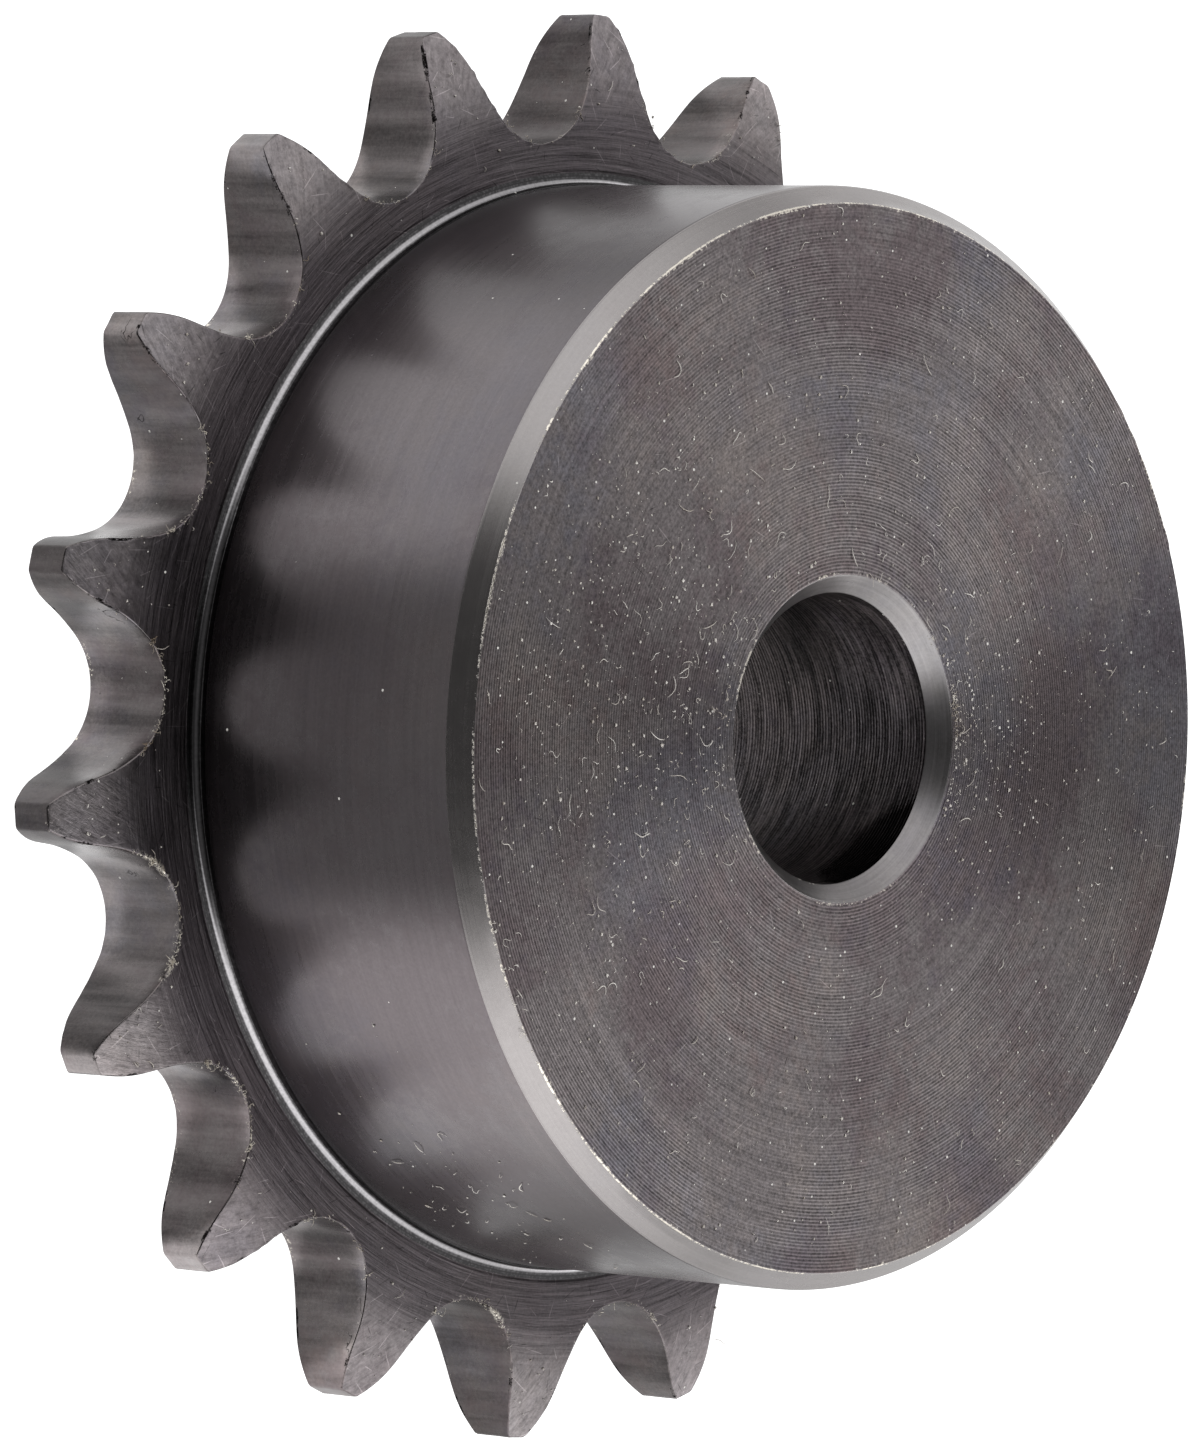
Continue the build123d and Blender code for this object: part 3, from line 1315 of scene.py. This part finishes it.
    def rim(self) -> tuple[Array, Array, Array]:
        """The rings of the rim, from the seam on the back, round the outline, to the front seam.

        Between the seam and the outline a ring's point is mixed in polar form: its radius goes
        from the seam's to the outline's with t, its angle with 3 t^2 - 2 t^3, and its height is
        that of the relief at its radius. Past that, the section is a quarter round, the flank
        and another quarter round.

        Returns:
            Points as (rings, columns, 3), each ring's distance from the edge, and its zone.
        """
        line = self.form.outline()
        count = len(line)
        even = np.arange(count) * 2 * pi / count
        tangent = np.roll(line, -1, 0) - np.roll(line, 1, 0)
        normal = np.stack([tangent[:, 1], -tangent[:, 0]], -1)
        normal /= np.linalg.norm(normal, axis=1)[:, None]
        normal = smooth_ring(normal, self.normal_blur)
        normal /= np.linalg.norm(normal, axis=1)[:, None]

        inset = self.cheek_inset
        inner = line - normal * inset
        radius = np.linalg.norm(inner, axis=1)
        angle = np.unwrap(np.arctan2(inner[:, 1], inner[:, 0]))
        t = np.array(self.cheek_rings)[:, None]
        ring_radius = (1 - t) * self.seam_radius + t * radius
        ring_angle = even + (angle - even) * step(t, 0, 1)
        cheek = ring_radius[..., None] * turn(ring_angle)
        closer = np.array(self.closer_rings)[:, None, None]
        cheek = np.concatenate([cheek, line - normal * closer])
        cheek_away = np.concatenate([inset + (1 - t[:, 0]) * self.farthest, closer[:, 0, 0]])

        nib = self.rim_round
        bend = np.radians(np.linspace(0, 90, self.bend_points))[:, None, None]
        edge = line - normal * nib * (1 - np.sin(bend))
        sunk = nib * (1 - np.cos(bend[:, :, 0]))
        flat = np.concatenate([cheek, edge])
        lift = self.drop(np.linalg.norm(flat, axis=2))
        lift[len(cheek):] += sunk
        burr, chew = self._burr(count)
        share = np.zeros((len(flat), 1))
        share[-len(self.burr_share):, 0] = self.burr_share
        front = flat + normal * (share * (self.burr_lean[0] * burr - chew))[..., None]
        front_z = self.plate - lift + share * (burr - self.chew_sink[0] * chew)
        quiet, worn = self._burr(count, seed=71, strength=0.5)
        back = flat + normal * (share * (self.burr_lean[1] * quiet - worn))[..., None]
        back_z = lift + share * worn * self.chew_sink[1]

        walls = np.linspace(0, 1, self.wall_rings + 2)[1:-1, None]
        wall_z = (1 - walls) * back_z[-1] + walls * front_z[-1]
        wave = np.stack([ripple(count, 5.0, 40 + k) for k in range(len(walls))]) * self.wall_wave
        sides = (1 - walls[..., None]) * back[-1] + walls[..., None] * front[-1]
        sides = sides + normal * wave[..., None]
        flats = np.concatenate([back, sides, front[::-1]])
        heights = np.concatenate([back_z, wall_z, front_z[::-1]])
        rings = np.concatenate([flats, heights[..., None]], -1)

        edge_away = np.concatenate([cheek_away, np.zeros(self.bend_points)])
        wall_away = np.minimum(walls, 1 - walls)[:, 0] * self.plate * self.flank_share
        away = np.concatenate([edge_away, wall_away, edge_away[::-1]])
        cheeks = len(cheek) + 1
        zones = np.concatenate([
            np.full(cheeks, Zone.CHEEK), np.full(len(rings) - 2 * cheeks - 1, Zone.FLANK),
            np.full(cheeks + 1, Zone.CHEEK)])
        return rings, np.minimum(away, self.farthest), zones

    def _burr(self, count: int, seed: int = 11, strength: float = 1.0) -> tuple[Array, Array]:
        """The raised burr and the chewed-off bits along one edge of the teeth.

        Long waves say where there is any, and short ones how much.

        Args:
            count: How many columns go round.
            seed: The first seed.
            strength: What both are multiplied by.

        Returns:
            The burr's height and the chewed depth at each column, in millimetres.
        """
        burr_waves, chew_waves = (22.0, 0.9), (30.0, 1.2)
        spells = step(ripple(count, burr_waves[0], seed), -0.2, 1.2)
        hairs = np.clip(ripple(count, burr_waves[1], seed + 1) + 0.3, 0, 2.2)
        burr = self.rim_burr * spells * hairs
        gone = step(ripple(count, chew_waves[0], seed + 2), 0.2, 1.4)
        chew = self.rim_chew * gone * np.clip(ripple(count, chew_waves[1], seed + 3), 0, 2.0)
        return burr * strength, chew * strength

    def build(self) -> bpy.types.Object:
        """Builds the skin.

        Returns:
            The object, with the edge attribute on each point and a material slot on each face.
        """
        points, hub_zone, hub_away = self.section()
        columns = self.hub_columns
        angle = np.arange(columns) * 2 * pi / columns
        around = points[:, None, :1] * turn(angle)[None]
        heights = np.broadcast_to(points[:, None, 1:], (*around.shape[:2], 1))
        hub = np.concatenate([around, heights], -1)
        hub = self._face_burr(hub, hub_away)
        rings, rim_away, rim_zone = self.rim()

        hub_count, rim_count = hub.shape[0] * columns, rings.shape[0] * rings.shape[1]
        hub_faces = grid_faces(hub.shape[0], columns, 0)
        rim_faces = grid_faces(rings.shape[0], rings.shape[1], hub_count)
        last_hub = (hub.shape[0] - 1) * columns
        last_rim = hub_count + rim_count - rings.shape[1]
        back_seam = fan_faces(last_hub, hub_count, columns, self.share, flip=True)
        front_seam = fan_faces(0, last_rim, columns, self.share, flip=False)
        triangles = np.concatenate([back_seam, front_seam])
        zones = np.concatenate([
            np.repeat(hub_zone[:-1], columns), np.repeat(rim_zone[:-1], rings.shape[1]),
            np.full(len(back_seam), Zone.BACK), np.full(len(front_seam), Zone.PLATE)])
        vertices = np.concatenate([hub.reshape(-1, 3), rings.reshape(-1, 3)]) * MM
        faces = [*hub_faces.tolist(), *rim_faces.tolist(), *triangles.tolist()]
        away = np.concatenate([
            np.repeat(hub_away, columns), np.repeat(rim_away, rings.shape[1])])
        return make_piece("sprocket_steel", vertices, faces, zones, away)

    def _face_burr(self, hub: Array, away: Array) -> Array:
        """Raises a fine ragged burr on the edge between the hub's face and its chamfer.

        Args:
            hub: The hub's grid of points.
            away: Each ring's distance from the nearest corner.

        Returns:
            The grid with the burr.
        """
        inwards, below, long_waves, short_waves = 1.5, 0.3, 12.0, 1.0
        columns = hub.shape[1]
        outer = np.linalg.norm(hub[:, :1, :2], axis=2) > self.hub_radius - inwards
        on_edge = (away[:, None] == 0) & outer & (hub[:, :1, 2] > self.height - below)
        spells = step(ripple(columns, long_waves, 5), -0.5, 1.0)
        hairs = np.clip(ripple(columns, short_waves, 6), 0, 2)
        hub = hub.copy()
        hub[..., 2] += on_edge * self.burr_height * spells * hairs
        return hub

    def dress(self, piece: bpy.types.Object, effects: Effects) -> None:
        """Gives the piece a material for each zone.

        Args:
            piece: The sprocket.
            effects: The shared node groups.
        """
        made = {}
        for zone in Zone:
            finish = FINISHES[zone]
            if finish.name not in made:
                made[finish.name] = finish.material(effects)
            piece.data.materials.append(made[finish.name])


def make_piece(name: str, vertices: Array, faces: list, slots: Array | None = None,
               edge: Array | None = None) -> bpy.types.Object:
    """Makes an object at the origin from points in metres.

    Args:
        name: The object's name.
        vertices: The points.
        faces: The faces, each a list of point numbers, anticlockwise from outside.
        slots: The material slot of each face.
        edge: The edge attribute of each point.

    Returns:
        The object, smooth shaded and linked to the scene.
    """
    mesh = bpy.data.meshes.new(name)
    mesh.from_pydata(vertices.tolist(), [], faces)
    mesh.polygons.foreach_set("use_smooth", np.ones(len(mesh.polygons), bool))
    if slots is not None:
        mesh.polygons.foreach_set("material_index", slots.astype(np.int32))
    if edge is not None:
        layer = mesh.attributes.new(EDGE, "FLOAT", "POINT")
        layer.data.foreach_set("value", edge.astype(np.float32))
    mesh.update()
    piece = bpy.data.objects.new(name, mesh)
    bpy.context.scene.collection.objects.link(piece)
    return piece


# Fibres, burr and dust


class Ground(Enum):
    """What a fibre, a burr or a grain lies on."""

    FACE = "face"
    SIDE = "side"
    PLATE = "plate"
    SEAT = "seat"


@dataclass(frozen=True)
class Patch:
    """A place where small things have gathered, and how many, as a share of the scatter's count.

    Out is the range of the radius, or of the height on the hub's side. Gather above 1 draws
    them towards the low end. Angle and spread are in degrees, and a spread of 0 is all round.
    """

    ground: Ground
    share: float
    out: tuple[float, float]
    gather: float = 0.6
    angle: float = 0.0
    spread: float = 0.0


class Spots(NamedTuple):
    """Places on the sprocket, each with two directions in the surface and the one off it."""

    origin: Array
    side: Array
    ahead: Array
    off: Array


def frames(sprocket: Sprocket, patches: tuple[Patch, ...], count: int,
           rng: np.random.Generator) -> Spots:
    """Draws places from all patches.

    Args:
        sprocket: The sprocket.
        patches: The patches.
        count: What each patch's share is multiplied by.
        rng: Where the random numbers come from.

    Returns:
        The places.
    """
    parts = [patch_spots(sprocket, patch, round(count * patch.share), rng) for patch in patches]
    return Spots(*(np.concatenate(rows) for rows in zip(*parts)))


def patch_spots(sprocket: Sprocket, patch: Patch, count: int, rng: np.random.Generator) -> Spots:
    """Draws places from one patch.

    On the plate an angle is drawn within the tooth, which has a half width in degrees of
    about 8 - 1.25 * (radius - 33). At the seats a place is the point of the tooth outline that
    is nearest in angle, of those below the patch's largest radius.

    Args:
        sprocket: The sprocket.
        patch: The patch.
        count: How many places.
        rng: Where the random numbers come from.

    Returns:
        The places.
    """
    low, high = patch.out
    out = low + (high - low) * rng.uniform(0, 1, count) ** patch.gather
    angle = rng.uniform(0, 2 * pi, count)
    if patch.spread:
        angle = np.radians(rng.normal(patch.angle, patch.spread, count))
    height = np.full(count, sprocket.height)
    radius = out
    if patch.ground is Ground.SEAT:
        line = sprocket.form.outline()
        line = line[np.linalg.norm(line, axis=1) < high]
        headings = np.arctan2(line[:, 1], line[:, 0])
        gaps = np.abs(np.angle(np.exp(1j * (headings[None] - angle[:, None]))))
        spot = line[np.argmin(gaps, axis=1)]
        angle, radius = np.arctan2(spot[:, 1], spot[:, 0]), np.linalg.norm(spot, axis=1)
    if patch.ground is Ground.PLATE:
        tooth = np.round(angle / (2 * pi) * sprocket.form.teeth) * 2 * pi / sprocket.form.teeth
        widest, narrowing, foot = 8.0, 1.25, 33.0
        half = np.radians(np.clip(widest - narrowing * (radius - foot), 1.5, 10))
        angle = tooth + half * rng.uniform(-1, 1, count)
    if patch.ground in (Ground.PLATE, Ground.SEAT):
        height = sprocket.plate - sprocket.drop(radius)
    outwards = np.concatenate([turn(angle), np.zeros((count, 1))], -1)
    around = np.concatenate([turn(angle + pi / 2), np.zeros((count, 1))], -1)
    upright = np.broadcast_to((0.0, 0.0, 1.0), (count, 3))
    if patch.ground is Ground.SIDE:
        origin = sprocket.hub_radius * outwards + out[:, None] * upright
        return Spots(origin, around, upright, outwards)
    origin = radius[:, None] * outwards + height[:, None] * upright
    return Spots(origin, outwards, around, upright)


@dataclass
class Lint:
    """Thin curly things that lie on the steel, such as textile fibres or hairs of burr.

    Sizes are in millimetres, bend and tip are in radians, and kink and thickness are shares of
    bend and radius. Gather draws the lengths towards the shortest. Along its length a thing is
    as thick as the square root of a sine from tip to pi - tip.
    """

    name: str
    count: int
    patches: tuple[Patch, ...]
    shortest: float = 0.2
    longest: float = 1.5
    radius: float = 0.024
    bend: float = 1.3
    kink: float = 0.6
    lift: tuple[float, float] = (0.02, 0.14)
    thickness: tuple[float, float] = (0.6, 1.3)
    tip: float = 0.12
    gather: int = 3
    points: int = 9
    sides: int = 4
    seed: int = 3

    def build(self, sprocket: Sprocket) -> bpy.types.Object:
        """Builds every fibre as a thin closed tube.

        A centre line starts at a random place and turns by bend * s + kink * sin(2 pi s) while
        s goes along it from 0 to 1, and it rises off the surface by half a sine. Round each of
        its points p the ring is p + r * (cos a * side + sin a * up), and r is small at the ends.

        Args:
            sprocket: What the fibres lie on.

        Returns:
            The object.
        """
        rng = np.random.default_rng(self.seed)
        spots = frames(sprocket, self.patches, self.count, rng)
        n = len(spots.origin)
        share = rng.uniform(0, 1, n) ** self.gather
        length = self.shortest + (self.longest - self.shortest) * share
        s = np.linspace(0, 1, self.points)
        heading = rng.uniform(0, 2 * pi, n)[:, None]
        bend = rng.normal(0, self.bend, n)[:, None]
        kink = rng.normal(0, self.kink * self.bend, n)[:, None]
        course = heading + bend * s + kink * np.sin(2 * pi * s)
        path = np.cumsum((length / (self.points - 1))[:, None, None] * turn(course), 1)
        rise = rng.uniform(*self.lift, n)[:, None] * np.sin(pi * s) + self.radius
        path = (spots.origin[:, None] + path[..., :1] * spots.side[:, None]
                + path[..., 1:] * spots.ahead[:, None] + rise[..., None] * spots.off[:, None])

        along = np.gradient(path, axis=1)
        along /= np.linalg.norm(along, axis=2, keepdims=True)
        side = np.cross(spots.off[:, None], along)
        side /= np.linalg.norm(side, axis=2, keepdims=True)
        up = np.cross(along, side)
        a = np.arange(self.sides) * 2 * pi / self.sides
        taper = np.sqrt(np.sin(np.linspace(self.tip, pi - self.tip, self.points)))
        ring = np.cos(a)[:, None] * side[:, :, None] + np.sin(a)[:, None] * up[:, :, None]
        thick = self.radius * rng.uniform(*self.thickness, n)[:, None, None, None]
        tubes = path[:, :, None] + thick * taper[None, :, None, None] * ring
        per = self.points * self.sides
        faces = grid_faces(self.points, self.sides, 0)
        starts = np.arange(n) * per
        quads = (faces[None] + starts[:, None, None]).reshape(-1, 4)
        cap = np.arange(self.sides)
        near = cap[::-1][None] + starts[:, None]
        far = cap[None] + per - self.sides + starts[:, None]
        return make_piece(self.name, tubes.reshape(-1, 3) * MM,
                          [*quads.tolist(), *near.tolist(), *far.tolist()])


@dataclass
class Grains:
    """Grains of dust on the steel, each a small uneven eight-sided body.

    Sizes are in millimetres. Uneven, above and below are shares of the size, and gather draws
    the sizes towards the smallest.
    """

    name: str
    count: int
    patches: tuple[Patch, ...]
    smallest: float = 0.028
    largest: float = 0.12
    uneven: tuple[float, float] = (0.5, 1.4)
    above: float = 0.7
    below: float = 0.3
    gather: int = 4
    seed: int = 8

    def build(self, sprocket: Sprocket) -> bpy.types.Object:
        """Builds the grains: six points at random lengths along the axes, joined by eight faces.

        Args:
            sprocket: What the grains lie on.

        Returns:
            The object.
        """
        rng = np.random.default_rng(self.seed)
        spots = frames(sprocket, self.patches, self.count, rng)
        n = len(spots.origin)
        share = rng.uniform(0, 1, n) ** self.gather
        size = self.smallest + (self.largest - self.smallest) * share
        spin = rng.uniform(0, 2 * pi, n)[:, None]
        first = np.cos(spin) * spots.side + np.sin(spin) * spots.ahead
        second = np.cos(spin) * spots.ahead - np.sin(spin) * spots.side
        axes = np.stack([first, second, -first, -second, self.above * spots.off,
                         -self.below * spots.off], 1)
        reach = size[:, None, None] * rng.uniform(*self.uneven, (n, 6, 1))
        centre = spots.origin + self.below * size[:, None] * spots.off
        points = axes * reach + centre[:, None]
        ring = np.arange(4)
        upper = np.stack([ring, (ring + 1) % 4, np.full(4, 4)], -1)
        lower = np.stack([(ring + 1) % 4, ring, np.full(4, 5)], -1)
        faces = np.concatenate([upper, lower])[None] + 6 * np.arange(n)[:, None, None]
        return make_piece(self.name, points.reshape(-1, 3) * MM, faces.reshape(-1, 3).tolist())


FIBRES = Lint("lint", 520, (
    Patch(Ground.FACE, 0.42, (9.3, 28.8)),
    Patch(Ground.FACE, 0.36, (9.6, 23.0), 1.2, 60.0, 32.0),
    Patch(Ground.FACE, 0.08, (9.3, 13.0), 1.5, 300.0, 30.0),
    Patch(Ground.SIDE, 0.06, (9.0, 19.0), 1.0, 131.0, 8.0),
    Patch(Ground.PLATE, 0.10, (32.0, 38.0)),
    Patch(Ground.FACE, 0.03, (28.4, 29.3), 1.0, 98.0, 5.0),
))
BURR = Lint("burr", 760, (
    Patch(Ground.SEAT, 0.46, (32.0, 34.2)),
    Patch(Ground.SEAT, 0.42, (32.0, 34.0), 0.6, 88.0, 24.0),
    Patch(Ground.FACE, 0.05, (9.0, 9.5), 1.0, 262.0, 5.0),
    Patch(Ground.SEAT, 0.07, (32.0, 36.0)),
), shortest=0.08, longest=0.62, radius=0.021, bend=2.2, lift=(0.0, 0.12), points=5, seed=21)
DUST = Grains("dust", 3000, (
    Patch(Ground.FACE, 0.46, (9.3, 28.8)),
    Patch(Ground.FACE, 0.24, (9.3, 25.0), 1.1, 60.0, 35.0),
    Patch(Ground.FACE, 0.18, (9.2, 17.0), 2.0, 255.0, 22.0),
    Patch(Ground.SIDE, 0.025, (9.0, 20.0), 1.0, 130.0, 12.0),
    Patch(Ground.PLATE, 0.10, (31.5, 38.5)),
))


# The studio


def bearing(azimuth: float, elevation: float) -> Vector:
    """The unit vector at an azimuth from +X and an elevation, in degrees."""
    a, e = radians(azimuth), radians(elevation)
    return Vector((cos(e) * cos(a), cos(e) * sin(a), sin(e)))


@dataclass
class Studio:
    """A pale table that glows, with painted light and shade in its glow, and soft light from both
    sides and the camera.

    Places are in millimetres and angles in degrees. The side towards the camera is dimmer in the
    sky, as a room is where the camera stands, and on the table, where it is a painted shadow in
    the glow that the camera doesn't see. Edges are the cosines or heights where one brightness
    ends and the next begins. A pair is for the left and the right side, or for behind and in
    front, as its comment says.
    """

    azimuth: float = 71.05
    elevation: float = 43.02
    roll: float = 92.69
    distance: float = 598.7
    aim_height: float = 7.30
    focal: float = 266.40
    shift_up: float = 0.0008
    clip: tuple[float, float] = (10.0, 20000.0)
    floor_reach: float = 1500.0
    floor_sunk: float = 0.02
    floor_roughness: float = 0.8
    floor_seen: float = 1.25
    floor_pale: float = 0.35
    # Glow levels that the camera doesn't see: a painted shadow in front, painted pools of light at
    # the sides and behind, painted shade between the teeth and painted light under their gaps.
    floor_front: float = 0.22
    floor_left: float = 1.85
    floor_right: float = 1.30
    near_floor: tuple[float, float] = (39.3, 40.8)
    painted_gap_shade: float = 0.49
    inner_floor: tuple[float, float] = (33.6, 34.8)
    far_floor: tuple[float, float] = (90.0, 160.0)
    floor_behind: tuple[float, float] = (0.60, 0.85)  # left, right
    floor_back: float = 0.75
    wedge_start: tuple[float, float] = (5.4, 15.1)
    wedge_heading: float = 76.0
    wedge_edges: tuple[float, float] = (0.88, 0.70)
    side_edges: tuple[float, float] = (-0.3, 0.3)
    back_starts: tuple[float, float] = (-0.36, -0.44)  # left, right
    back_ends: tuple[float, float] = (0.38, 0.24)  # left, right
    behind_edges: tuple[float, float] = (-0.25, -0.5)
    middle_back: float = 0.60
    middle_front: float = 0.11
    wings_back: float = 1.22
    wings_front: float = 2.1
    overhead: float = 0.12
    wing_left: float = 1.16
    wing_right: float = 0.84
    horizon: float = 0.65
    horizon_back: float = 2.6
    front_edges: tuple[float, float] = (0.0, 0.6)
    wing_starts: tuple[float, float] = (0.02, 0.46)  # behind, in front
    wing_ends: tuple[float, float] = (0.42, 0.78)  # behind, in front
    wing_edges: tuple[float, float] = (-0.6, 0.1)
    overhead_edges: tuple[float, float] = (0.74, 0.95)
    horizon_edges: tuple[float, float] = (0.02, 0.30)
    far_back_edges: tuple[float, float] = (-0.5, -0.9)

    def camera(self) -> None:
        """Makes the scene's camera, which looks at the axis and is rolled onto its side."""
        data = bpy.data.cameras.new("camera")
        data.lens = self.focal
        data.shift_y = self.shift_up
        data.clip_start, data.clip_end = (c * MM for c in self.clip)
        camera = bpy.data.objects.new("camera", data)
        towards = bearing(self.azimuth, self.elevation)
        aim = Vector((0.0, 0.0, self.aim_height))
        level = (-towards).to_track_quat("-Z", "Y")
        rolled = level @ Quaternion((0.0, 0.0, 1.0), radians(self.roll))
        place = Matrix.Translation((aim + towards * self.distance) * MM)
        camera.matrix_world = place @ rolled.to_matrix().to_4x4()
        bpy.context.scene.collection.objects.link(camera)
        bpy.context.scene.camera = camera

    def floor(self) -> None:
        """Makes the floor: a pale sheet whose glow holds painted light and shade, brighter on both
        sides of the camera.

        The camera sees the floor evenly bright, and every other ray sees the painted glow. It
        depends on the cosine between the wedge's heading and the way from the wedge's start to the
        point: low in front, a painted shadow, high to the sides, painted pools of light, and lower
        again behind. It changes with the radius too: far behind it is even, between the teeth it
        is dim, a painted shade, and under the plate it is as bright as the camera sees the whole
        floor, a painted light that the flanks mirror as glints.
        """
        reach = self.floor_reach * MM
        corners = np.array([(-1, -1), (1, -1), (1, 1), (-1, 1)]) * reach
        points = np.concatenate([corners, np.full((4, 1), -self.floor_sunk * MM)], -1)
        sheet = make_piece("floor", points, [[0, 1, 2, 3]])
        material, nodes, shader = new_material("pale_floor")
        pale = (self.floor_pale,) * 3
        nodes.feed(shader.inputs["Base Color"], opaque(pale))
        shader.inputs["Roughness"].default_value = self.floor_roughness
        shader.inputs["Specular IOR Level"].default_value = 0.0
        nodes.feed(shader.inputs["Emission Color"], opaque(WHITE))

        # A painted shadow on the camera's side of the floor, and painted pools of light to both
        # sides.
        start = (*(c * MM for c in self.wedge_start), 0.0)
        heading = nodes.vector("NORMALIZE", nodes.vector("SUBTRACT", nodes.place(), start))
        ahead = nodes.vector("DOT_PRODUCT", heading, bearing(self.wedge_heading, 0.0))
        open_front = nodes.span(ahead, *self.wedge_edges, smooth=True)
        sideways = nodes.vector("DOT_PRODUCT", heading, bearing(self.wedge_heading - 90.0, 0.0))
        right = nodes.span(sideways, *self.side_edges)
        sides = nodes.level(right, self.floor_left, self.floor_right)
        open_back = nodes.span(ahead, nodes.level(right, *self.back_starts),
                               nodes.level(right, *self.back_ends), smooth=True)
        radius, _ = nodes.polar(nodes.place())
        far = nodes.span(radius, *(r * MM for r in self.far_floor), smooth=True)
        behind = nodes.level(nodes.span(ahead, *self.behind_edges), self.floor_front,
                             nodes.level(right, *self.floor_behind))
        behind = nodes.level(far, behind, self.floor_back)
        sides = nodes.level(open_back, behind, sides)
        glow = nodes.level(open_front, self.floor_front, sides)
        # Painted shade between the teeth, then painted light under their gaps.
        for (inner, outer), level in ((self.near_floor, self.painted_gap_shade),
                                      (self.inner_floor, self.floor_seen)):
            close = nodes.span(radius, outer * MM, inner * MM, smooth=True)
            glow = nodes.level(close, glow, level)
        # The camera sees the floor evenly bright; every other ray sees the painted glow.
        seen = nodes.add("LightPath").outputs["Is Camera Ray"]
        nodes.feed(shader.inputs["Emission Strength"], nodes.level(seen, glow, self.floor_seen))
        material.cycles.emission_sampling = "NONE"
        sheet.data.materials.append(material)

    def sky(self) -> None:
        """Makes the light from all round: a wing on either side of the camera's upright plane.

        The sky is dim in that plane, most of all overhead and towards the camera, and bright to
        both sides.
        Close to the horizon it is dimmer again in front and at the sides, and brighter behind.
        """
        world = bpy.data.worlds.new("studio")
        world.use_nodes = True
        world.node_tree.nodes.clear()
        nodes = Nodes(world.node_tree)
        towards = nodes.add("TexCoord").outputs["Generated"]
        headings = (bearing(self.azimuth, 0.0), bearing(self.azimuth - 90.0, 0.0),
                    Vector((0.0, 0.0, 1.0)))
        front, sideways, height = (nodes.vector("DOT_PRODUCT", towards, h) for h in headings)
        ahead = nodes.span(front, *self.front_edges, smooth=True)
        wing = nodes.span(nodes.math("ABSOLUTE", sideways), nodes.level(ahead, *self.wing_starts),
                          nodes.level(ahead, *self.wing_ends), smooth=True)
        above = nodes.level(nodes.span(height, *self.overhead_edges, smooth=True), 1.0,
                            self.overhead)
        middle = nodes.level(ahead, self.middle_back, self.middle_front)
        middle = nodes.math("MULTIPLY", middle, above)
        wings = nodes.level(nodes.span(front, *self.wing_edges), self.wings_back,
                            self.wings_front)
        wings = nodes.math("MULTIPLY", wings, nodes.level(
            nodes.span(sideways, *self.side_edges), self.wing_left, self.wing_right))
        strength = nodes.level(wing, middle, wings)
        horizon = nodes.level(nodes.span(front, *self.far_back_edges, smooth=True),
                              self.horizon, self.horizon_back)
        low = nodes.level(nodes.span(height, *self.horizon_edges, smooth=True), horizon, 1.0)
        strength = nodes.math("MULTIPLY", strength, low)
        light = nodes.add("Background")
        nodes.feed(light.inputs["Strength"], strength)
        out = nodes.add("OutputWorld")
        world.node_tree.links.new(light.outputs[0], out.inputs["Surface"])
        bpy.context.scene.world = world

    def build(self) -> None:
        """Makes the whole studio and sets plain colours for the picture."""
        self.camera()
        self.floor()
        self.sky()
        bpy.context.scene.view_settings.view_transform = "Standard"


def report(piece: bpy.types.Object) -> None:
    """Logs a piece's name and how many triangles it has."""
    piece.data.calc_loop_triangles()
    log.info("%s: %d triangles", piece.name, len(piece.data.loop_triangles))


def main() -> None:
    """Builds the studio, the sprocket and what lies on it."""
    logging.basicConfig(level=logging.INFO, format="%(name)s: %(message)s")
    Studio().build()
    effects = Effects()

    sprocket = Sprocket()
    steel = sprocket.build()
    sprocket.dress(steel, effects)
    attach(steel, BODY)
    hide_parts(NODE)
    report(steel)

    fluff = Fluff("pale_fibre", (0.90, 0.87, 0.82), (0.50, 0.45, 0.40)).material()
    bare = Fluff("bare_burr", (0.88, 0.84, 0.76), (0.30, 0.24, 0.18), metallic=0.7).material()
    for scatter, material in ((FIBRES, fluff), (BURR, bare), (DUST, fluff)):
        piece = scatter.build(sprocket)
        piece.data.materials.append(material)
        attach(piece, BODY)
        report(piece)


if __name__ == "__main__":
    main()
